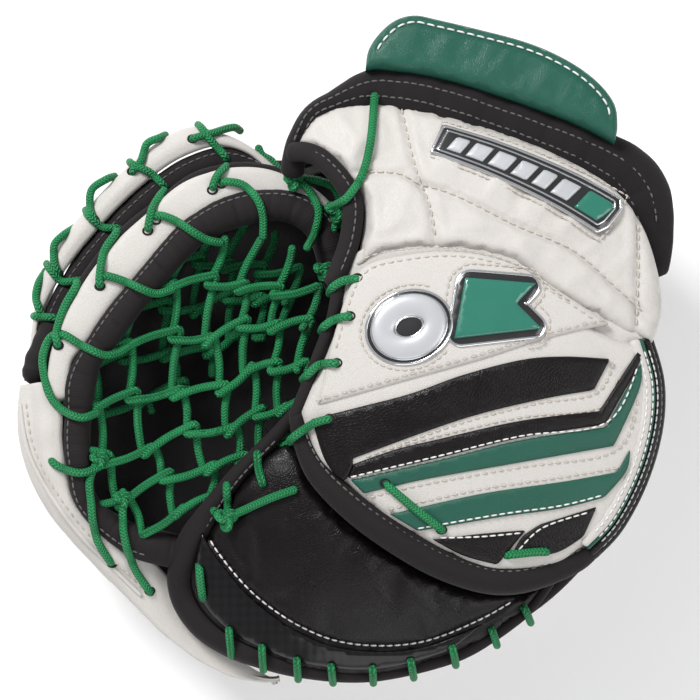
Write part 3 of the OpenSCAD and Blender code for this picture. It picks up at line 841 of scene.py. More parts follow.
thumb_surface = raised(-0.5)
thumb_panel = puffed_panel("thumb_panel", thumb_outline, thumb_surface, 16, WHITE, edge=6, wrinkle=0.3,
                           cap=0.6,
                           pressure=2.0, growth=0.01)

SEAM_LINE = even(spline([(6, 42), (20, 52), (36, 55), (56, 55), (76, 52), (98, 44), (118, 31), (145, 14),
                         (163, 6)]), 3.0)
seam_across = inset_row(SEAM_LINE, 1.0) - SEAM_LINE
seam_grid = np.array([on_surface(SEAM_LINE + seam_across * d, crown, -4.5) for d in np.linspace(-9, 9, 10)])
seam_skin = sheet("seam_skin", seam_grid, seam_grid - np.array([0, 0, 2.5]), WHITE)

OVERLAY_LOW = [(-12, -27), (32, -15), (75, -3), (109, 8), (145, 17)]
OVERLAY_TOP = [(137, 22), (120, 33), (98, 47), (77, 54), (56, 56), (35, 54), (17, 50), (8, 42), (2, 28),
               (-5, 4)]
overlay_outline = np.vstack([spline(OVERLAY_LOW), spline(OVERLAY_TOP)])

overlay_surface = raised(1.9)
thumb_overlay = panel("thumb_overlay", overlay_outline, overlay_surface, 2.6, WHITE, edge=2.2, cell=3.5,
                      wrinkle=0.15)


overlay_rows = [inset_row(spline(OVERLAY_TOP), 3.0), inset_row(spline(OVERLAY_LOW), 2.6),
                inset_row(spline(THUMB_SEAM)[6:-14], 3.5)]
overlay_stitches = stitches("overlay_stitches", surface_rows(overlay_rows, overlay_surface, -0.1),
                            SAND_THREAD,
                            pitch=4.8)

STRIPES = {
    "stripe_black_upper": (BLACK, [[(-15, -34), (10, -28), (38, -20.9), (66, -11), (97, -3), (120, -1),
                                    (145, -2)],
                                   [(145, -2), (136, -18.8)],
                                   [(136, -18.8), (105, -24.5), (64, -35), (6.4, -55.5)],
                                   [(6.4, -55.5), (7.5, -58.4)],
                                   [(7.5, -58.4), (2, -67), (-8, -56), (-15, -34)]]),
    "stripe_black_lower": (BLACK, [[(7.5, -58.2), (30, -50.5), (53.5, -45), (96.4, -35.4), (139, -30)],
                                   [(139, -30), (150, -13), (160, 2)], [(160, 2), (161, -4), (142.4, -37)],
                                   [(142.4, -37), (96.3, -44.5), (53.5, -55), (20, -62.5), (4, -66)],
                                   [(4, -66), (7.5, -58.2)]]),
    "stripe_green_upper": (GREEN, [[(6, -66.8), (53.5, -56.2), (96.3, -45.8), (143, -38.4)],
                                   [(143, -38.4), (153, -20), (162, -4)],
                                   [(162, -4), (161, -18), (147, -48.5)],
                                   [(147, -48.5), (96.4, -57.5), (42.8, -67), (13, -74)],
                                   [(13, -74), (6, -66.8)]]),
    "stripe_green_lower": (GREEN, [[(27, -85), (75, -74.3), (118, -67.9), (149, -62.5)],
                                   [(149, -62.5), (156, -50)], [(156, -50), (154, -62), (142, -76)],
                                   [(142, -76), (118, -82), (86, -86.5), (42, -94)],
                                   [(42, -94), (27, -85)]]),
    "stripe_black_tips": (BLACK, [[(50, -98.5), (75, -95.5), (99.8, -93.5)], [(99.8, -93.5), (84.6, -112)],
                                  [(84.6, -112), (66, -107), (50, -98.5)]]),
}

stripe_surface = raised(1.6)
def corners(sides):
    return np.vstack([spline(s) for s in sides])


stripes = {}
for stripe_name, (material, sides) in STRIPES.items():
    stripes[stripe_name] = panel(stripe_name, corners(sides), stripe_surface, 2.3, material, edge=1.0,
                                 cell=3.0)
    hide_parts(stripe_name)
tip_right = panel("stripe_black_tip_right", corners([[(92, -107), (98, -97), (107.6, -90.3)],
                                                     [(107.6, -90.3), (138, -81)],
                                                     [(138, -81), (131, -97)],
                                                     [(131, -97), (115, -106), (92, -107)]]),
                  stripe_surface, 2.3, BLACK, edge=1.0, cell=3.0)

WHITE_ROWS = [
    [(6, -65.2), (53.5, -54), (96.3, -43.6), (143, -36), (160.5, -5)],
    [(42, -92.6), (86, -85), (118, -80.5), (142, -74.5)],
    [(54, -97.6), (75, -97), (97, -95)],
    [(96, -104), (109, -92), (136, -83.2)],
]
SAND_ROWS = [
    [(14, -54.6), (64, -36.8), (105, -26.3), (137, -20.6), (147, -4)],
    [(22, -51.6), (53.5, -43.2), (96.4, -33.6), (139, -28.2), (149.5, -11)],
    [(16, -76), (42.8, -69.6), (96.4, -60), (148, -51), (161, -21)],
    [(26, -82.5), (75, -71.8), (118, -65.4), (150, -60)],
]
white_seams = [spline(r) for r in WHITE_ROWS]
stripe_stitches = stitches("stripe_stitches", surface_rows(white_seams, stripe_surface, 0.1),
                           WHITE_THREAD, pitch=4.4)
strip_stitches = stitches("strip_stitches", surface_rows([spline(r) for r in SAND_ROWS], crown, 0.1),
                          SAND_THREAD, pitch=4.4)

THUMB_BAND = [(139, -101, 129, 5.5), (128, -109, 132, 7), (110, -116.5, 134, 7.6), (92, -120, 136, 8.2),
              (74, -118, 137, 8.5), (50, -109, 139, 8.5), (25, -94, 141, 8.5), (5, -79, 142, 8),
              (-11, -63, 143, 7),
              (-19, -48, 144, 5.5), (-23, -33, 145, 4.5)]
thumb_band_path = spline(THUMB_BAND, 10)
thumb_binding = tube("thumb_binding", thumb_band_path[:, :3], thumb_band_path[:, 3], BINDING, sides=24)
thumb_band_row = on_tube(thumb_band_path[:, :3], thumb_band_path[:, 3], thumb_band_path[:, 2],
                         7.6, -0.55)
thumb_band_stitches = stitches("thumb_band_stitches", [thumb_band_row[4:-6]], GREY_THREAD, pitch=4.4)
thumb_edge_binding = tube("thumb_edge_binding", spline([(-24, -31, 146), (-17, -14, 148), (-10, 4, 150),
                                                       (-4, 20, 151), (-1, 36, 152)]), 3.4, BINDING,
                          sides=14)

# ---------- badge and emblem ----------

BADGE_MID = spline([(52.5, 119), (80.5, 109), (107, 97.5), (128, 87), (149, 74.5)], 12)


def badge_point(u, v):
    """A plan point of the badge: u in mm from its left end, v from -1 at its lower edge to 1 above."""
    t = tangents(BADGE_MID)
    length = run_length(BADGE_MID)
    at = [np.interp(u, length, BADGE_MID[:, k]) for k in range(2)]
    along = unit([np.interp(u, length, t[:, k]) for k in range(2)])
    half = 8.0 + 3.4 * u / length[-1]
    return (at[0] - along[1] * half * v, at[1] + along[0] * half * v)


def badge_shape(u0, u1, v, slant=2.5, chamfer=0.0):
    """An outline on the badge from u0 to u1, leaning by slant."""
    count = 9
    low = [badge_point(u, -v) for u in np.linspace(u0, u1, count)]
    high = [badge_point(u + slant, v) for u in np.linspace(u1, u0, count)]
    if chamfer:
        low[-1] = badge_point(u1 - chamfer, -v)
        low.append(badge_point(u1, -v * 0.55))
        high[0] = badge_point(u1 + slant - chamfer, v)
        high.insert(0, badge_point(u1 + slant, v * 0.6))
    return np.array(low + high)


def rim_tube(name, outline, height, radius, material):
    ring = even(outline, 1.2, closed=True)
    path = on_surface(ring, raised(height))
    return tube(name, path, radius, material, sides=10, closed=True)


BADGE_LENGTH = 107.0
badge_outline = badge_shape(0, BADGE_LENGTH - 2, 1.0, 1.5, 3.0)
badge_frame = panel("badge_frame", badge_outline, raised(1.9), 3.5, BADGE_BLACK, edge=1.4, cell=3.5)
badge_rims = [rim_tube("badge_rim_outer", badge_outline, 0.9, 1.0, CHROME),
              rim_tube("badge_rim_inner", badge_shape(3.0, BADGE_LENGTH - 5, 0.74, 1.5, 2.0), 1.9, 0.55,
                       CHROME)]
BARS = [(7.0, 15.0), (18.0, 28.0), (31.0, 41.5), (44.5, 54.0), (57.0, 65.5), (68.5, 79.0)]
bars = [panel_mesh(badge_shape(start, end, 0.52, 3.4), raised(3.2), 2.0, cell=2.5, edge=0.9)
        for start, end in BARS]
badge_plate = joined("badge_plate", bars, SILVER)
badge_accent = panel("badge_accent", badge_shape(84.0, BADGE_LENGTH - 7, 0.6, 3.0, 1.5), raised(2.9), 2.0,
                     BADGE_GREEN,
                     edge=0.9, cell=2.5)
badge_seam = badge_shape(-2.6, BADGE_LENGTH + 0.6, 1.34, 1.5, 3.0)
badge_stitches = stitches("badge_stitches", surface_rows([np.vstack([badge_seam, badge_seam[:1]])],
                                                         raised(-0.3), 0),
                          SAND_THREAD, pitch=4.2, length=3.0)


def oval(cx, cy, rx, ry, lean=0.0, count=40):
    t = np.linspace(0, 2 * math.pi, count, endpoint=False)
    x, y = rx * np.cos(t), ry * np.sin(t)
    return np.column_stack([cx + x * math.cos(lean) - y * math.sin(lean),
                            cy + x * math.sin(lean) + y * math.cos(lean)])


RING = (37, 14.5)
FLAG = [(61, 8), (67, 41), (105, 38), (94.5, 27), (108, 13.5)]


def widened(outline, by):
    """The outline moved outwards by the same distance all round, with rounded corners."""
    ring = even(outline, 1.5, closed=True)
    out = ring + by * left_of(ring, True)
    for _ in range(2):
        out = (np.roll(out, 1, 0) + 2 * out + np.roll(out, -1, 0)) / 4
    return out


emblem_backs = [panel("emblem_ring_back", oval(*RING, 23.5, 19.5, 0.35), raised(3.3), 2.4, BADGE_BLACK,
                      edge=1.0),
                panel("emblem_flag_back", widened(FLAG, 4.2), raised(3.2), 2.4, BADGE_BLACK, edge=1.0)]
emblem_rims = [rim_tube("emblem_ring_rim", oval(*RING, 23.3, 19.3, 0.35), 2.5, 0.9, CHROME),
               rim_tube("emblem_flag_rim", widened(FLAG, 4.0), 2.4, 0.9, CHROME)]
ring_path = on_surface(oval(*RING, 14.2, 11.2, 0.35, 60), raised(3.6))
emblem_ring = tube("emblem_ring", ring_path, 6.0, SILVER, high=2.1, sides=20, closed=True)
ring_edges = [rim_tube("emblem_ring_edge_outer", oval(*RING, 20.6, 17.0, 0.35), 3.4, 0.6, CHROME),
              rim_tube("emblem_ring_edge_inner", oval(*RING, 7.6, 5.4, 0.35), 3.6, 0.6, CHROME)]
emblem_flag = panel("emblem_flag", FLAG, raised(4.9), 2.6, BADGE_GREEN, edge=1.0, cell=2.5)
emblem_seam = [widened(FLAG, 8.0)[4:-22], oval(*RING, 26.5, 22.5, 0.35, 60)[8:52]]
emblem_stitches = stitches("emblem_stitches", surface_rows(emblem_seam, raised(1.9), 0), SAND_THREAD,
                           pitch=4.2,
                           length=3.0)

# ---------- side of the thumb half ----------

THUMB_SIDE = even(spline([(162, 8), (168, -14), (167, -38), (159.5, -64), (147, -88), (134, -102)]), 2.0)


SIDE_BANDS = [("side_band_white", -3.4, 1.2, 3.0, 1.8, WHITE),
              ("side_band_green", 0.2, 2.4, 1.5, 1.8, GREEN),
              ("side_band_black", 3.2, 6.0, 2.8, 2.6, BLACK),
              ("side_band_outer", 6.0, 11.5, 2.8, 3.4, BLACK)]
side_bands = []
side_rows = []
for band_name, outward, drop, wide, high, material in SIDE_BANDS:
    band_path = on_surface(inset_row(THUMB_SIDE, outward), crown, -drop)
    side_bands.append(tube(band_name, band_path, wide, material, high=high, sides=16))
    side_rows.append((band_path + np.array([0, 0, high]))[3:-3])
side_stitches = stitches("side_stitches", side_rows, WHITE_THREAD, pitch=4.0, length=3.0)



def wall_row(p, out, puffs, count=18):
    """One upright row of a padded wall: puffs are pairs of a distance outwards and a height."""
    return count_along(spline([(*(p + out * o), z) for o, z in puffs], 5), count)


wall_rows = []
side_out = left_of(THUMB_SIDE)
for i, p in enumerate(THUMB_SIDE):
    out = side_out[i]
    top_z = crown(p[0], p[1]) - 9
    taper = 1 - 0.62 * max(0.0, (i / len(THUMB_SIDE) - 0.35) / 0.65) ** 1.5
    deep = (top_z - 86) * taper
    puffs = [(3, top_z), (6.5, top_z - 0.2 * deep), (4.5, top_z - 0.42 * deep), (6.2, top_z - 0.64 * deep),
             (3.0, top_z - 0.9 * deep), (-1.0, top_z - deep)]
    wall_rows.append(wall_row(p, out, puffs))
wall_rows = np.array(wall_rows)


def inner_skin(rows, thick):
    """The same rows moved inside by their thickness."""
    du = np.gradient(rows, axis=0)
    dv = np.gradient(rows, axis=1)
    normal = unit(np.cross(du, dv))
    return rows + normal * thick


def away_from(rows, centre, thick):
    """The inner face of a wall: the rows moved towards a centre in plan."""
    toward = unit(np.append(np.array(centre, float), 0) - rows * np.array([1, 1, 0]))
    return rows + toward * thick


thumb_wrap = sheet("thumb_side_wrap", wall_rows, away_from(wall_rows, (90, -30), 4.0), WHITE)
wrap_stitches = stitches("wrap_stitches", [wall_rows[2:-2, 7] + np.array([0.5, 0, 0]),
                                           wall_rows[2:-2, 12] + np.array([0.5, 0, 0])], SAND_THREAD,
                         pitch=4.6)

# ---------- palm piece ----------

PALM_UPPER = [(-30, -46), (-22, -53), (-12, -71), (5, -89), (30, -107), (55, -121), (80, -128), (97, -129),
              (114, -124)]
PALM_LOWER = [(104, -137), (83, -152), (62, -162), (31, -172), (6, -174), (-24, -170), (-44, -162),
              (-60, -154),
              (-74, -143), (-82, -132), (-85, -120), (-82, -108), (-74, -96), (-58, -72), (-41, -53)]
PALM_SEAM = [(-76, -90), (-68, -105), (-48, -128), (-22, -146), (6, -155.5), (43, -155), (78, -142),
             (109, -124)]
palm_outline = np.vstack([spline(PALM_UPPER), spline(PALM_LOWER)])
palm_seam = spline(PALM_SEAM, 10)
palm_leather = puffed_panel("palm_leather", palm_outline, palm_dome, 8, BLACK, edge=6, seams=[palm_seam],
                            groove=1.8,
                            groove_w=2.0, puff=1.0, wrinkle=1.1, cap=1.6)
palm_stitches = stitches("palm_stitches", surface_rows([palm_seam], palm_dome, -2.3, palm_outline),
                         WHITE_THREAD,
                         pitch=4.6, radius=0.55)
GLOSS_UPPER = [(-76.5, -93.5), (-69, -107), (-49, -130.5), (-23, -149), (5, -158.5), (43, -158), (79, -145)]
GLOSS_LOWER = [(62, -159.5), (31, -168.5), (6, -170.5), (-23, -166.5), (-44, -159), (-60, -151),
               (-72.5, -140.5),
               (-79.5, -130), (-82, -119), (-80, -107)]
gloss_panel = panel("palm_gloss_panel", np.vstack([spline(GLOSS_UPPER), spline(GLOSS_LOWER)]),
                    raised(1.9, palm_dome), 5.0, CARBON, edge=2.4, wrinkle=0.9)

PALM_ROLL = [(-26, -30, 3.4), (-35, -41, 4), (-46, -52, 4.4), (-56, -62, 4.8), (-66, -74, 5.4),
             (-76, -88, 7), (-82, -97, 7.8), (-86.5, -108, 8.2), (-89, -121, 8.6),
             (-85.5, -134, 8.8), (-75.5, -147, 8.6), (-60, -157, 8), (-42, -164, 7), (-22, -170, 5.5),
             (6, -173.5, 4.5),
             (31, -171.5, 4), (63, -163, 4), (83, -153, 3.6), (104, -138, 3.2), (117, -123, 2.6)]
palm_roll_flat = spline(PALM_ROLL, 10)
palm_roll_path = on_surface(palm_roll_flat, palm_dome, -6.0)
palm_binding = tube("palm_binding", palm_roll_path, palm_roll_flat[:, 2], BINDING, sides=24)
palm_roll_row = on_tube(palm_roll_path, palm_roll_flat[:, 2], palm_roll_path[:, 2], 7.0, 0.55)
palm_roll_stitches = stitches("palm_roll_stitches", [palm_roll_row[12:125]], GREY_THREAD, pitch=4.4)

# ---------- upper pocket band, sweep and net ----------

NEAR_OUTER = [(7, 55), (3, 72), (-8, 89), (-22, 101), (-36, 109), (-53, 112), (-66, 111), (-83, 106),
              (-103, 91),
              (-120, 78), (-135, 62), (-149, 41), (-157, 26), (-162, 5), (-165, -12)]
WHITE_INNER = [(-5, 66), (-9, 82), (-17, 91), (-28, 96), (-46, 97), (-65, 93), (-87, 80), (-100, 66),
               (-115, 48),
               (-130, 30), (-143, 10), (-152, -2), (-153, -20)]
ROLL_OUTER = [(-1, 52), (-5, 66), (-9, 82), (-17, 91), (-28, 96), (-46, 97), (-65, 93), (-87, 80),
              (-100, 66),
              (-115, 48), (-130, 30), (-143, 10), (-152, -6), (-153, -25), (-154, -42), (-152, -58),
              (-149, -74),
              (-141, -86), (-129, -98), (-121, -104), (-113, -107), (-102, -110)]
ROLL_INNER = [(-1, 36), (-6, 57), (-14, 71), (-28, 79), (-43, 79), (-65, 73), (-81, 63), (-95, 48),
              (-110, 30),
              (-123, 12), (-133, 0), (-137, -14), (-139, -28), (-140, -46), (-138, -68), (-134, -80),
              (-119, -91),
              (-105, -95), (-95, -97), (-86, -99)]

ROLL_POINTS = 170
roll_a, roll_b = rails(ROLL_OUTER, ROLL_INNER, ROLL_POINTS)
roll_mid = (roll_a + roll_b) / 2
roll_half = np.linalg.norm(roll_a - roll_b, axis=1) / 2
roll_share = np.linspace(0, 1, ROLL_POINTS)
roll_z = np.interp(roll_share, [0, 0.12, 0.3, 0.55, 0.75, 1],
                   [NEAR_Z - 6, NEAR_Z - 2, NEAR_Z - 2, NEAR_Z - 3,
                                                              NEAR_Z - 10, NEAR_Z - 22])
roll_step = np.arange(ROLL_POINTS)
roll_z = roll_z + 0.35 * np.sin(roll_step * 0.7) + 0.25 * np.sin(roll_step * 1.9)
ROLL_HIGH = 8.5
pocket_roll = tube("pocket_roll", np.column_stack([roll_mid, roll_z]), roll_half, BINDING, high=ROLL_HIGH,
                   sides=28)
roll_row = on_tube(roll_mid, roll_half, roll_z, ROLL_HIGH, -0.6)
roll_stitches = stitches("roll_stitches", [roll_row[14:-6]], GREY_THREAD, pitch=4.4)

STRIP_POINTS = 130
outer_rail, inner_rail = rails(NEAR_OUTER, WHITE_INNER, STRIP_POINTS)
strip_edge = outer_rail + (inner_rail - outer_rail) * 0.2
strip_mid = (strip_edge + inner_rail) / 2
strip_half = np.linalg.norm(strip_edge - inner_rail, axis=1) / 2 + 0.8
strip_share = np.linspace(0, 1, STRIP_POINTS)
strip_z = np.interp(strip_share, [0, 0.15, 0.5, 0.85, 1], [NEAR_Z - 9, NEAR_Z - 4, NEAR_Z - 3.5, NEAR_Z - 5,
                                                         NEAR_Z - 8])
near_strip = tube("near_strip", np.column_stack([strip_mid, strip_z]), strip_half, WHITE, high=4.5,
                  sides=28, shape=lambda c, s: (np.sign(c) * abs(c) ** 0.5, np.sign(s) * abs(s) ** 0.6))
trim_mid = outer_rail + (inner_rail - outer_rail) * 0.1
near_trim = tube("near_trim", np.column_stack([trim_mid, strip_z - 2.0]), 3.4, BINDING, sides=14)

SWEEP_OUT = [(-180, -12, 96), (-181, -30, 97), (-179, -48, 96), (-173, -66, 94), (-164, -83, 90),
             (-153, -97, 87),
             (-136, -115, 83), (-119, -132, 79), (-103, -148, 76), (-86, -162, 73), (-69, -172, 71),
             (-51, -177.5, 70), (-35, -178, 69)]
SWEEP_IN = [(-160, -10, 103), (-155, -28, 104), (-155, -43, 103), (-153, -58, 102), (-150, -74, 100),
            (-143, -86, 98), (-131, -98, 94), (-117, -105, 88), (-104, -112, 81), (-94, -124, 76),
            (-87, -139, 72.5), (-76, -153, 70), (-61, -164, 69), (-48, -172, 68), (-37, -177, 68.5)]


def from_spine(p):
    """How far a plan point is from the line that the upper half of the pocket folds along."""
    return np.maximum(0, (p[..., 0] + 176) * 0.549 - (p[..., 1] + 22) * 0.836)


def back_rim(p):
    return 58 - 0.10 * from_spine(p)


def sweep_foot(p):
    return 72.0 - 0.035 * from_spine(p)


def sweep_rows(count=120, across=20):
    """Rows of the crossbar's skin: from the pocket roll over the ridge, the rim and down the outer wall."""
    outer = count_along(spline(SWEEP_OUT), count)
    inner = count_along(spline(SWEEP_IN), count)
    rows = []
    for i in range(count):
        inward = unit(np.append((inner[i] - outer[i])[:2], 0))
        wave = 0.5 * math.sin(i * 0.55) + 0.35 * math.sin(i * 0.23 + 1)
        full = 1 - 0.95 * min(1.0, max(0.0, (i / count - 0.52) / 0.16))
        ridge = outer[i] * 0.8 + inner[i] * 0.2 + np.array([0, 0, 3.0 * full])
        dip = outer[i] * 0.68 + inner[i] * 0.32 + np.array([0, 0, 1.9 * full])
        crest = outer[i] * 0.4 + inner[i] * 0.6 + np.array([0, 0, (4.2 + wave) * full])
        tip = min(1.0, 0.08 + (1 - i / count) / 0.2)
        foot_z = outer[i][2] + (float(sweep_foot(outer[i])) - outer[i][2]) * tip
        side = np.array([outer[i][0], outer[i][1], outer[i][2] * 0.5 + foot_z * 0.5])
        side = side - inward * (0.8 + 0.4 * wave)
        foot = np.array([outer[i][0], outer[i][1], foot_z]) - inward * 0.3
        profile = spline([inner[i], crest, dip, ridge, outer[i], side, foot], 6)
        rows.append(count_along(profile, across))
    return np.array(rows)


sweep_top = sweep_rows()
sweep = sheet("sweep", sweep_top, inner_skin(sweep_top, 3.5), WHITE)
RIDGE = [(-179, -24), (-175.5, -45), (-168.5, -62), (-158, -79), (-146, -95), (-129, -113), (-113, -129)]
on_sweep = surface_of(sweep)
sweep_piping = tube("sweep_piping", drape(RIDGE, on_sweep, 0.5), 1.3, WHITE, sides=10, up=None)
sweep_stitches = stitches("sweep_stitches", [drape([(x + 3.2, y + 1.8) for x, y in RIDGE], on_sweep, 0.1)],
                          SAND_THREAD, pitch=4.8)

# The net is knotted from staircase laces: each goes along one side of a cell and down the next,
# and hooks round its neighbours at the corners. The rows run from the cuff end to the mouth,
# from the pocket's spine to the thumb.
NET_ROWS = [
    [(-146, 58), (-122, 62), (-102, 64), (-84, 66), (-67, 67), (-47, 66), (-29, 60), (-12, 54)],
    [(-150, 36), (-132, 42), (-112, 40), (-95, 43), (-72, 46), (-55, 42), (-35, 39), (-14, 38)],
    [(-154, 12), (-138, 12), (-120, 10), (-92, 16), (-73, 12), (-54, 22), (-36, 19), (-18, 20)],
    [(-156, -18), (-138, -26), (-116, -18), (-91, -17), (-65, -15), (-51, -4), (-36, -3), (-21, -3)],
    [(-154, -46), (-131, -54), (-107, -49), (-83, -37), (-60, -38), (-45, -28), (-31, -27), (-20, -24)],
    [(-146, -76), (-121, -78), (-97, -63), (-72, -59), (-54, -54), (-42, -46), (-30, -44), (-22, -42)],
    [(-134, -100), (-108, -93), (-90, -83), (-72, -76), (-58, -70), (-48, -62), (-38, -56), (-30, -52)],
]
MOUTH = np.vstack([spline(ROLL_INNER)[:, :2], spline([(-72, -92), (-55, -72), (-35, -48), (-22, -28),
                                                      (-12, 0)])])


def near_net_height(x, y):
    rise = np.clip((x + 50) / 45.0, 0, 1)
    return 101 + 0.10 * (x + 138) + 16 * rise ** 2 * (3 - 2 * rise) - 0.12 * np.maximum(-40 - y, 0)


def far_net_height(x, y):
    return 70 + 0.08 * (x + 120) + 0.06 * (y - 20)


BOW = 1.7


def staircase(rows, column, row, rightwards, hook, height):
    """One net lace from a cell corner on the net's edge: right, down, right, down."""
    wide, deep = len(rows[0]), len(rows)
    path, i, j = [], column, row
    while i < wide and j < deep:
        here = np.array(rows[j][i], float)
        shift = hook if rightwards else -hook
        level = height(here[0], here[1])
        path.append((here[0] + shift * 0.7, here[1] + shift * 0.7, level))
        nxt = (i, j + 1) if rightwards else (i + 1, j)
        if nxt[0] >= wide or nxt[1] >= deep:
            break
        there = np.array(rows[nxt[1]][nxt[0]], float)
        side = -LACE_R if rightwards else LACE_R
        across = unit(np.array([here[1] - there[1], there[0] - here[0]]))
        bow = BOW * (1 if (nxt[0] + nxt[1]) % 2 else -1)
        for share in (0.2, 0.5, 0.8):
            spot = here + (there - here) * share + across * bow * math.sin(math.pi * share)
            edge = 0.8 * shift * (1 - 2 * share)
            sag = -1.2 * math.sin(math.pi * share)
            path.append((spot[0] + edge, spot[1] + edge, height(spot[0], spot[1]) + side + sag))
        i, j = nxt
        rightwards = not rightwards
    return np.array(path)


def net(name, rows, height, region, hook=3.5):
    parts = []
    starts = [(c, 0, True) for c in range(len(rows[0]) - 1)] + [(0, r, False) for r in range(len(rows) - 1)]
    for column, row, rightwards in starts:
        path = staircase(rows, column, row, rightwards, hook, height)
        if len(path) < 4:
            continue
        path = even(spline(path, 6), 1.2)
        keep = inside(path, region) | (to_path_distance(path, region, True) < 7.0)
        runs = np.flatnonzero(np.diff(np.concatenate([[0], keep.astype(int), [0]])))
        for first, last in zip(runs[::2], runs[1::2]):
            if last - first > 8:
                parts.append(tube_mesh(path[first:last], LACE_R, sides=12, up=None))
    return joined(name, parts, LACE, with_uv=True)


near_net = net("near_net", NET_ROWS, near_net_height, MOUTH)
FAR_ROWS = [[(x * 0.96 - 12, y * 0.86 + 22) for x, y in row] for row in NET_ROWS]
FAR_REGION = spline([(-165, -10), (-166, 24), (-150, 58), (-120, 90), (-84, 112), (-50, 110), (-26, 92),
                     (-20, 60),
                     (-40, 30), (-80, 0), (-120, -20)], closed=True)
far_net = net("far_net", FAR_ROWS, far_net_height, FAR_REGION)

# ---------- lower pocket band ----------

FAR_OUTER = [(-180, -8), (-179, 0), (-177, 12), (-173, 42), (-166, 61), (-156, 77), (-143, 93), (-128, 109),
             (-113, 123), (-97, 134), (-83, 138), (-67, 134), (-54, 128), (-42, 119), (-29, 106)]
FAR_INNER = [(-172, -4), (-172, 14), (-171, 26), (-162, 46), (-149, 65), (-133, 84), (-116, 101),
             (-97, 116),
             (-80, 124), (-67, 126), (-52, 121), (-40, 110), (-31, 99)]
FAR_ROLL_IN = [(-156, -8), (-158, 8), (-155, 24), (-147, 40), (-134, 58), (-119, 75), (-104, 89),
               (-88, 101),
               (-72, 109), (-60, 110), (-46, 108), (-34, 100), (-26, 92)]
FAR_POINTS = 120
far_a, far_b = rails(FAR_OUTER, FAR_INNER, FAR_POINTS)
far_rows = []
for p, q in zip(far_a, far_b):
    inward = unit(np.append(q - p, 0))
    edge, inner = np.append(p, FAR_Z - 3), np.append(q, FAR_Z + 0.5)
    foot = np.append(p, back_rim(p) + 4) + inward * 3
    crest = (edge + inner) / 2 + np.array([0, 0, 2.8])
    profile = spline([inner, crest, edge, (edge + foot) / 2 - inward * 0.8, foot], 6)
    far_rows.append(count_along(profile, 16))
far_rows = np.array(far_rows)
far_strip = sheet("far_strip", far_rows, inner_skin(far_rows, -3.0), WHITE)
far_in_a, far_in_b = rails(FAR_INNER, FAR_ROLL_IN, FAR_POINTS)
far_roll_mid = (far_in_a + far_in_b) / 2
far_roll_half = np.linalg.norm(far_in_a - far_in_b, axis=1) / 2
far_roll_z = FAR_Z - 4.5 + 0.3 * np.sin(np.arange(FAR_POINTS) * 0.8)
far_roll = tube("far_roll", np.column_stack([far_roll_mid, far_roll_z]), far_roll_half, BINDING, high=6.5,
                sides=24)
far_row = on_tube(far_roll_mid, far_roll_half, far_roll_z, 6.5, 0.45)
far_stitches = stitches("far_stitches", [far_row[8:-6]], GREY_THREAD, pitch=4.4)
end_path = spline([(-162, 28, 80), (-166.5, 14, 86), (-171, 3, 88), (-172.5, -4.5, 89)], 8)
end_wave = 7.4 + 0.3 * np.sin(np.arange(len(end_path)) * 0.9)
far_roll_end = tube("far_roll_end", end_path, end_wave, BINDING, high=end_wave * 0.9, sides=20)

# ---------- wrist guard ----------

FLAP_TOP = [(14, 158), (15.5, 168), (21, 177), (30, 185), (41, 188), (54, 185.5), (79, 179.5), (101, 173.5),
            (118, 166.5), (133, 157.5), (144, 147.5), (150.5, 137), (151.5, 125)]
FLAP_LOW = [(150, 117), (129, 128), (92, 142), (53, 154), (20, 159)]
flap_outline = np.vstack([spline(FLAP_TOP), spline(FLAP_LOW)])


def flap_surface(x, y):
    across = (y - 150 + 0.31 * (x - 85)) / 30.0
    return 148 + 1.4 * np.clip(1 - across ** 2, -1, 1)


guard_seam = inset_row(spline(FLAP_TOP)[10:-4], -4.6)
guard_panel = puffed_panel("wrist_guard", flap_outline, flap_surface, 12, GREEN, edge=4, wrinkle=0.15,
                           cap=1.2,
                           growth=0.012, seams=[guard_seam], groove=0.9, groove_w=1.8)
guard_stitches = stitches("guard_stitches", surface_rows([guard_seam], flap_surface, -0.5), WHITE_THREAD,
                          pitch=5.4,
                          length=4.2, radius=0.55)

# ---------- back half ----------

BACK_OUTLINE = [(168, 40), (172, -20), (160, -80), (120, -130), (60, -163), (0, -170), (-60, -164),
                (-110, -136),
                (-150, -93), (-169, -50), (-170, 0), (-158, 50), (-125, 95), (-80, 120), (-30, 118),
                (15, 133),
                (80, 133), (140, 108)]
BACK_C = np.array([0.0, -20.0])
FLAT_SHARE = 0.62
back_line = even(spline(BACK_OUTLINE, closed=True), 6.0, closed=True)


def back_ring(share, up, dish=False):
    p = BACK_C + share * (back_line - BACK_C)
    if dish:
        z = 36 + (back_rim(back_line) - 40) * share ** 4 + up
    else:
        z = back_rim(back_line) * max(0.0, (share - FLAT_SHARE) / (1 - FLAT_SHARE)) ** 1.8 + up
    return np.column_stack([p, z])


def ring_skin(rows):
    """A closed skin over rings; the first and last rings are capped."""
    n = len(rows[0])
    faces = []
    for i in range(len(rows) - 1):
        for k in range(n):
            a, b = i * n + k, i * n + (k + 1) % n
            faces.append([a, b, b + n, a + n])
    faces.append(list(range(n - 1, -1, -1)))
    faces.append([(len(rows) - 1) * n + k for k in range(n)])
    return np.vstack(rows), faces


SHELL_SHARES = np.concatenate([[0.02, 0.2, 0.4, 0.55], np.linspace(0.62, 1.0, 20)])
QUILT_SHARES = (0.76, 0.9)


def quilt_dip(share):
    return sum(2.2 * math.exp(-((share - q) / 0.012) ** 2) for q in QUILT_SHARES)


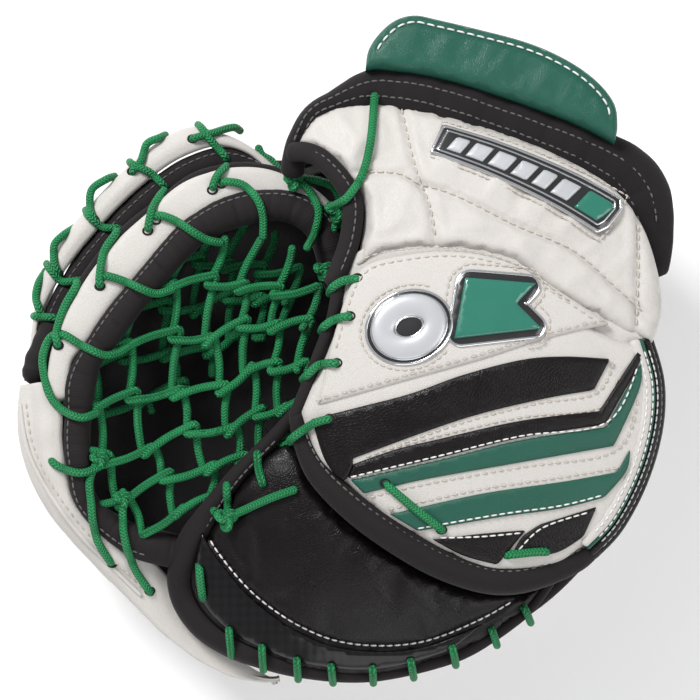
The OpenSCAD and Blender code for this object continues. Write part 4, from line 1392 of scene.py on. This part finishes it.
back_outer = [back_ring(s, quilt_dip(s)) for s in SHELL_SHARES]
back_inner = [back_ring(s, 5.5) for s in SHELL_SHARES[::-1]]
back_shell = make("back_shell", *ring_skin(back_outer + back_inner), WHITE)
quilt_rows = [np.vstack([back_ring(q, 1.2), back_ring(q, 1.2)[:1]]) for q in QUILT_SHARES]
back_stitches = stitches("back_stitches", quilt_rows, SAND_THREAD, pitch=5.4, lift=-0.9)
rim_path = back_ring(1.0, 6.6)
back_binding = tube("back_binding", rim_path, 3.6, BINDING, high=3.8, sides=14, closed=True)
lining_shares = np.concatenate([[0.02, 0.2], np.linspace(0.35, 0.94, 12)])
lining_top = [back_ring(s, 3.0 + 0.8 * math.sin(s * 40), True) for s in lining_shares]
lining_low = [back_ring(s, 0.4, True) for s in lining_shares[::-1]]
finger_lining = make("finger_lining", *ring_skin(lining_low[::-1] + lining_top[::-1]), LINING)

STALLS = [((68, 58), (64, -90)), ((45, 60), (35, -102)), ((22, 60), (5, -103)), ((-1, 58), (-26, -92))]
stall_parts = []
for start, end in STALLS:
    line = even([(*start, 24.6), (*end, 24.6)], 2.0)
    ridge = 8.6 + 0.35 * np.sin(np.arange(len(line)) * 1.1)
    stall_parts.append(tube_mesh(line, ridge, sides=20))
finger_stalls = joined("finger_stalls", stall_parts, NYLON)
thumb_line = even([(62, 10, 104), (51.5, -90, 104)], 2.0)
thumb_stall = tube("thumb_stall", thumb_line, 13.6 + 0.4 * np.sin(np.arange(len(thumb_line))), NYLON,
                   sides=24)
THUMB_LINING = [(2, 22), (70, 30), (140, -8), (144, -60), (112, -104), (60, -128), (0, -126), (-36, -98),
                (-38, -66),
                (-18, -20)]
thumb_lining = panel("thumb_lining", spline(THUMB_LINING, closed=True), lambda x, y: 87.4 + 0 * x, 3.6,
                     LINING,
                     edge=1.6, cell=5.0, wrinkle=0.8)

# ---------- inside of the cuff, its side and its strap ----------

LINER_FROM = np.array([70.0, 66.0, 94.0])
LINER_TURN = math.radians(17)
LINER_DIR = np.array([math.sin(LINER_TURN), math.cos(LINER_TURN), 0])
LINER_SIDE = np.array([math.cos(LINER_TURN), -math.sin(LINER_TURN), 0])


def liner_ring(along, out):
    """The liner's section: a rounded flat oval, out mm outside its inner face."""
    t = np.linspace(0, 2 * math.pi, 72, endpoint=False)
    half_w, half_h = 67.0 + out, 22.0 + out
    c, s = np.cos(t), np.sin(t)
    x = np.sign(c) * np.abs(c) ** 0.55 * half_w
    z = np.sign(s) * np.abs(s) ** 0.8 * half_h
    return LINER_FROM + along * LINER_DIR + x[:, None] * LINER_SIDE + np.column_stack([0 * z, 0 * z, z])


def tube_skin(rings):
    """A closed skin over rings that come back to the first one."""
    n, m = len(rings[0]), len(rings)
    faces = [[i * n + k, i * n + (k + 1) % n, ((i + 1) % m) * n + (k + 1) % n, ((i + 1) % m) * n + k]
             for i in range(m) for k in range(n)]
    return np.vstack(rings), faces


depths = np.linspace(0, 78, 27)
outer_rings = [liner_ring(d, 2.8) for d in depths] + [liner_ring(79.4, 2.2), liner_ring(80, 1.2)]
inner_rings = [liner_ring(79.4, 0.2)] + [liner_ring(d, -0.6 - 0.5 * math.sin(d * 0.5))
                                         for d in depths[::-1]]
cuff_liner = make("cuff_liner", *tube_skin(outer_rings + inner_rings), NYLON)

CUFF_SIDE = even(spline([(164, 2), (167, 16), (167.5, 44), (163, 66), (153, 88)]), 2.5)
cuff_side_rows = []
for p in CUFF_SIDE:
    top_z = crown(p[0], p[1]) - 10
    out = unit(p - np.array([80.0, 20.0]))
    puffs = [(-1.5, top_z), (0.8, top_z - 16), (-0.6, top_z - 30), (0.6, 90), (-0.5, 74), (-2, 66)]
    cuff_side_rows.append(wall_row(p, out, puffs))
cuff_side_rows = np.array(cuff_side_rows)
cuff_side = sheet("cuff_side_panel", cuff_side_rows, away_from(cuff_side_rows, (80, 20), 4.5), WHITE)

HEEL = even(spline([(160, 4), (165, -18), (162, -44), (153, -70), (138, -94), (120, -112), (98, -126)]),
            2.0)
heel_rows = []
for i, p in enumerate(HEEL):
    out = unit(p - np.array([70.0, -20.0]))
    fold = 1.2 * math.sin(i * 0.9)
    high = 92 + 6 * min(1.0, i / 60)
    puffs = [(-1, high), (-5 + fold, high - 9), (-1.5, high - 17), (-6 - fold, 67), (-5, 58)]
    heel_rows.append(wall_row(p, out, puffs))
heel_rows = np.array(heel_rows)
heel_gusset = sheet("heel_gusset", heel_rows, away_from(heel_rows, (70, -20), 2.5), NYLON)

wrist_strap = slab("wrist_strap", "wrist_strap", BINDING)
strap_anchor = slab("strap_anchor", "strap_anchor", BINDING)
strap_loop = slab("strap_loop_patch", "strap_loop_patch", HOOK)
strap_hook = slab("strap_hook_tape", "strap_hook_tape", HOOK)
low, high = node_box("wrist_strap")
strap_box = [(high[0] + 0.1, y, z) for y, z in [(low[1] + 2.5, low[2] + 3), (low[1] + 2.5, high[2] - 3),
                                                (high[1] - 2.5, high[2] - 3), (high[1] - 2.5, low[2] + 3)]]
strap_parts = []
for a, b in zip(strap_box, strap_box[1:] + strap_box[:1]):
    for p in even([a, b], 4.4)[:-1]:
        q = p + unit(np.subtract(b, a)) * 3.0
        middle = (p + q) / 2 + np.array([0.25, 0, 0])
        strap_parts.append(tube_mesh([p, middle, q], 0.4, sides=6, up=None))
strap_stitches = joined("strap_stitches", strap_parts, GREY_THREAD)

# ---------- lacing ----------

on_far = surface_of(far_strip, far_roll, far_roll_end)
on_near = surface_of(near_strip, pocket_roll, near_trim, sweep)
on_thumb = surface_of(thumb_panel, thumb_overlay, thumb_binding, palm_leather, gloss_panel, palm_binding,
                      thumb_edge_binding, *stripes.values())
on_cuff = surface_of(cuff_panel, cuff_roll, cuff_edge_binding)


def net_end(x, y):
    return (x, y, float(near_net_height(x, y)) + LACE_R)


FAR_LACES = [
    [(-58, 137, 74), (-62, 137.5, 82), (-74, 133), (-83, 130.5), (-85, 130, 82)],
    [(-82, 140, 76), (-79, 136), (-74, 129), (-66, 120), (-65, 117, 79)],
    [(-101, 134, 76), (-104, 131, 84), (-111, 127), (-114, 117), (-118, 112), (-119, 111, 82)],
    [(-121, 118, 78), (-118, 115), (-108, 110), (-101, 103), (-99.5, 101, 79)],
    [(-130, 110, 76), (-134, 107, 84), (-142, 101), (-143, 91), (-141, 85), (-140, 83, 82)],
    [(-146, 90, 78), (-143, 85), (-135, 79), (-127, 78.3), (-125.5, 77.8, 79)],
    [(-153, 80, 76), (-158, 75, 84), (-163, 69), (-163, 60), (-161, 54), (-160, 52, 82)],
    [(-168, 59, 78), (-165, 55), (-158, 48), (-148, 48.3), (-146.5, 47.8, 79)],
    [(-169, 55, 76), (-172, 47, 84), (-173, 38), (-169, 28), (-168, 26, 82)],
    [(-175, 29, 78), (-172, 28), (-162, 27), (-159.5, 26.6, 79)],
    [(-47, 126, 78), (-45, 122), (-40, 119), (-36, 114), (-35.5, 112, 79)],
]
spine_lacing = laces("spine_lacing", FAR_LACES, on_far)

NEAR_LACES = [
    [(-64, 111, 105), (-65, 109), (-69, 104), (-71, 99), (-71.5, 97, 102)],
    [(-67, 100, 106), (-64, 101), (-54, 99), (-46, 90), (-43, 81), net_end(-43, 70)],
    [(-99, 97, 105), (-101, 94), (-105, 86), (-107, 76), (-107.5, 74, 102)],
    [(-104, 80, 106), (-101, 82), (-92, 79), (-82, 72), (-74, 68), net_end(-67, 67)],
    [(-125, 74, 105), (-126.5, 71), (-132, 62), (-134, 48), (-134, 44), (-134, 42, 102)],
    [(-133, 47, 106), (-130, 48), (-120, 45), (-110, 40), (-102, 38), net_end(-94, 41)],
    [(-147, 45, 105), (-148.5, 41), (-154, 31), (-158, 18), (-157.5, 11), (-157, 9, 102)],
    [(-156, 15, 105), (-153, 15), (-143, 9), (-132, 4), (-125, 5), net_end(-119, 9)],
    [(-156, 17, 103), (-162, 14), (-166, 4), (-165, -8), (-160, -21), (-152, -28), (-143, -31),
     net_end(-136, -28)],
    [(-163, -52, 98), (-158, -57), (-148, -61), (-141, -61), net_end(-133, -57)],
    [(-27, 100.5, 110), (-25, 100.5), (-18, 97), (-12, 84), (-14, 72), net_end(-18, 62)],
    [(-24, 102.5, 110), (-20, 103), (-11, 101.5), (-3, 97), (1, 86), (-2, 78), (-6, 70, 112)],
    [(-6, 86, 116), (2, 75), (4, 62), (-3, 51), (-10, 47, 112)],
    [net_end(-132, -50), (-139, -64), (-138, -80), (-136, -97), (-130, -109), (-128, -112, 84)],
    [net_end(-121, -72), (-121, -86), (-120, -96), (-116, -113), (-109, -125), (-107, -128, 78)],
]
near_knots = [knot(-134, -54, 104, 1.6), knot(-121, -76, 102, 1.6), knot(-26, 101, 115, 1.7),
              knot(-2, 84, 116, 2.2),
              knot(-9, 50, 120, 1.8)]
rim_lacing = laces("rim_lacing", NEAR_LACES, on_near, near_knots)

THUMB_LACES = [
    [(-5.5, 34.5, 146), (-3.5, 37), (2, 40), (8, 41), (9.5, 41.3, 150)],
    [(-10, 14, 144), (-8, 16), (-3, 19), (4, 20.5), (5.5, 20.6, 150)],
    [(-20, -12, 142), (-17, -10), (-11, -5), (-3, -4.5), (-1.5, -4.4, 148)],
    [(-27, -45, 138), (-24, -43), (-15, -37), (-7, -34.5), (-5.5, -34.2, 146)],
    [(-45, -50.5, 119), (-45.2, -53), (-44.5, -60), (-42.5, -67), (-42.3, -69, 118)],
    [(-62.3, -68.5, 116), (-62.3, -72), (-62, -80), (-62, -86)],
    [(-62, -86), (-52, -82), (-38, -76), (-25, -71.5)],
    [(-64, -87), (-67, -85), (-69.5, -82.5, 114)],
    [(-78.5, -112, 98), (-78, -117), (-77, -128), (-76.5, -131, 92)],
    [(24, -68, 148), (27, -71), (40, -82), (53, -92), (55, -93.5, 146)],
    [(88, -107, 140), (92, -106.5), (104, -105.2), (110, -105), (112, -105, 140)],
]
thumb_knots = [knot(-62.5, -87, palm_dome(-62.5, -87) + 3.2, 2.2)]
thumb_lacing = laces("thumb_lacing", THUMB_LACES, on_thumb, thumb_knots)

EDGE_SPOTS = [(-62, -148, -61, -163), (-43.5, -157.5, -43, -171), (-24, -164.5, -23.5, -176),
              (-5, -168, -4, -178),
              (18, -169, 18.5, -178), (39, -165, 41, -175), (62, -157.5, 64.5, -168),
              (84, -147.5, 87.5, -157),
              (102, -135.5, 106.5, -144.5)]


def palm_height(x, y):
    """The height of the thumb half's surface, or of the palm's dome where there is none."""
    hit = on_thumb(x, y)
    return palm_dome(x, y) if hit is None else hit


edge_loops = []
for x0, y0, x1, y1 in EDGE_SPOTS:
    mid_x, mid_y = (x0 + x1) / 2, (y0 + y1) / 2
    crest, start = palm_height(mid_x, mid_y), palm_height(x0, y0)
    path = [(x0, y0, start - 2), (x0 * 0.9 + x1 * 0.1, y0 * 0.9 + y1 * 0.1, start + 1.6),
            (mid_x, mid_y, max(crest, start - 3) + LACE_R * 0.9), (x1, y1, crest - 4),
            (x1, y1 + 1.0, crest - 12)]
    edge_loops.append(tube_mesh(even(spline(path, 6), 1.0), LACE_R * 0.95, sides=12, up=None))
perimeter_lacing = joined("perimeter_lacing", edge_loops, LACE, with_uv=True)

loose_lace = laces("loose_lace", [[(-4, 83, 140), (3, 85), (9, 93), (13.5, 103), (17, 120), (19, 143.5)]],
                   on_cuff)

HOLES = {
    "pocket": (on_near, [(-71.5, 96.5), (-107.5, 73.5), (-134, 42.5), (-157, 9.5), (-66.5, 100),
                         (-103, 79.5),
                         (-133.5, 47.5), (-155.5, 15.5), (-128, -111.5), (-107.5, -127)]),
    "thumb": (on_thumb, [(9.5, 41.4), (5.5, 20.8), (-1.5, -4.3), (-5.5, -34), (-42.3, -69), (24.5, -68.5),
                         (54.5, -93.2)]),
    "hand": (on_far, [(-84.5, 130.2), (-119, 111.5), (-140.5, 83.5), (-160.5, 52.5), (-168.3, 26.5)]),
}
eyelets = {}
for body, (height, spots) in HOLES.items():
    parts = []
    for x, y in spots:
        z = height(x, y)
        if z is None:
            continue
        turn = np.linspace(0, 2 * math.pi, 20, endpoint=False)
        ring = np.column_stack([x + 2.6 * np.cos(turn), y + 2.1 * np.sin(turn), np.full(20, z + 0.1)])
        parts.append(tube_mesh(ring, 0.6, sides=8, closed=True))
    eyelets[body] = joined("eyelets_" + body, parts, BINDING)

# ---------- CAD nodes that the pieces stand for ----------

REPLACED = [
    (cuff_panel, "cuff_shell", "cuff_core"), (cuff_roll, "cuff_roll"),
    (cuff_edge_binding, "cuff_edge_binding"), (thumb_panel, "thumb_shell", "thumb_core"),
    (thumb_overlay, "thumb_overlay"), (stripes["stripe_green_lower"], "stripe_white"),
    (thumb_binding, "thumb_binding"), (thumb_edge_binding, "thumb_edge_binding"),
    (badge_frame, "badge_frame"), (badge_plate, "badge_plate"), (badge_accent, "badge_accent"),
    (emblem_ring, "emblem_ring"), (emblem_flag, "emblem_flag"), (thumb_wrap, "thumb_side_wrap"),
    (palm_leather, "palm_leather", "palm_core"), (palm_binding, "palm_binding"),
    (pocket_roll, "pocket_roll"), (near_strip, "near_post"), (near_trim, "near_post_binding"),
    (sweep, "sweep", "sweep_core"), (near_net, "near_net"), (far_net, "far_net"), (far_strip, "far_post"),
    (far_roll, "far_post_binding"), (guard_panel, "wrist_guard_cover", "wrist_guard_core"),
    (back_shell, "finger_shell", "finger_core"), (back_binding, "finger_binding"),
    (finger_lining, "finger_lining"), (finger_stalls, "finger_stalls"), (thumb_stall, "thumb_stall"),
    (thumb_lining, "thumb_lining"), (cuff_liner, "cuff_liner"), (cuff_side, "cuff_side_panel"),
    (heel_gusset, "heel_gusset"), (spine_lacing, "spine_lacing"), (rim_lacing, "rim_lacing"),
    (perimeter_lacing, "perimeter_lacing"),
]
for piece, *nodes in REPLACED:
    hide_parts(*nodes)

# ---------- bodies ----------

RIDES = {
    "hand": [cuff_panel, cuff_stitches, cuff_roll, cuff_roll_stitches, cuff_edge_binding,
             cuff_edge_stitches,
             badge_frame, badge_plate, badge_accent, badge_stitches, cuff_gusset,
             far_strip, far_roll, far_roll_end, far_stitches,
             far_net, spine_lacing, back_shell, back_stitches, back_binding, finger_lining, finger_stalls,
             cuff_liner,
             cuff_side, strap_anchor, strap_loop, loose_lace, eyelets["hand"]] + badge_rims,
    "thumb": [thumb_panel, tip_right, stripe_stitches, strip_stitches, thumb_binding,
              thumb_band_stitches, thumb_edge_binding, palm_leather, palm_stitches, gloss_panel,
              palm_binding,
              palm_roll_stitches, thumb_stall, thumb_lining, thumb_wrap, wrap_stitches, side_stitches,
              emblem_ring,
              emblem_flag, thumb_lacing, perimeter_lacing, eyelets["thumb"]]
             + list(stripes.values()) + side_bands + emblem_backs + emblem_rims + ring_edges,
    "pocket": [pocket_roll, roll_stitches, near_strip, near_trim, sweep, sweep_piping, sweep_stitches,
               near_net,
               rim_lacing, eyelets["pocket"]],
    "guard": [guard_panel, guard_stitches],
    "strap": [wrist_strap, strap_hook, strap_stitches],
}
for body, pieces in RIDES.items():
    for piece in pieces:
        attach(fix_normals(piece), body)
fix_normals(seam_skin)
for piece in (thumb_overlay, overlay_stitches, emblem_stitches):
    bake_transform(fix_normals(piece))
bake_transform(seam_skin)
fix_normals(heel_gusset)
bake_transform(heel_gusset)

# ---------- the CAD node that shows as it is ----------

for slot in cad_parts["back_plate"].material_slots:
    slot.material = PLASTIC

# ---------- floor, light and camera ----------


def floor():
    mesh = bpy.data.meshes.new("floor")
    mesh.from_pydata([(-3, -3, 0), (3, -3, 0), (3, 3, 0), (-3, 3, 0)], [], [(0, 1, 2, 3)])
    n = Nodes("floor_paper")
    n.finish(Base_Color=(0.97, 0.97, 0.97, 1), Roughness=0.95, Specular_IOR_Level=0.1)
    mesh.materials.append(n.material)
    obj = bpy.data.objects.new("floor", mesh)
    obj.location.z = -0.0006
    bpy.context.scene.collection.objects.link(obj)


def area_light(name, place, size, power):
    data = bpy.data.lights.new(name, "AREA")
    data.size = size
    data.energy = power
    obj = bpy.data.objects.new(name, data)
    obj.location = place
    obj.rotation_euler = (Vector((0, 0, 0.1)) - Vector(place)).to_track_quat("-Z", "Y").to_euler()
    bpy.context.scene.collection.objects.link(obj)


floor()
area_light("key", (-0.9, 1.1, 1.5), 0.7, 42)
area_light("fill", (1.4, -0.5, 1.3), 1.2, 14)
area_light("front", (0.1, -1.6, 0.9), 1.2, 8)
world = bpy.data.worlds.new("studio")
world.use_nodes = True
world.node_tree.nodes["Background"].inputs["Color"].default_value = (0.98, 0.98, 1.0, 1)
world.node_tree.nodes["Background"].inputs["Strength"].default_value = 0.46
bpy.context.scene.world = world
bpy.context.scene.view_settings.view_transform = "Standard"

AIM = Vector((0.0055, 0.0055, 0.125))
ELEVATION = math.radians(85)
DISTANCE = 1.25
camera_data = bpy.data.cameras.new("camera")
camera_data.lens = 116.9
camera_data.sensor_width = 36.0
camera = bpy.data.objects.new("camera", camera_data)
camera.location = AIM + DISTANCE * Vector((0, -math.cos(ELEVATION), math.sin(ELEVATION)))
camera.rotation_euler = (AIM - camera.location).to_track_quat("-Z", "Y").to_euler()
bpy.context.scene.collection.objects.link(camera)
bpy.context.scene.camera = camera
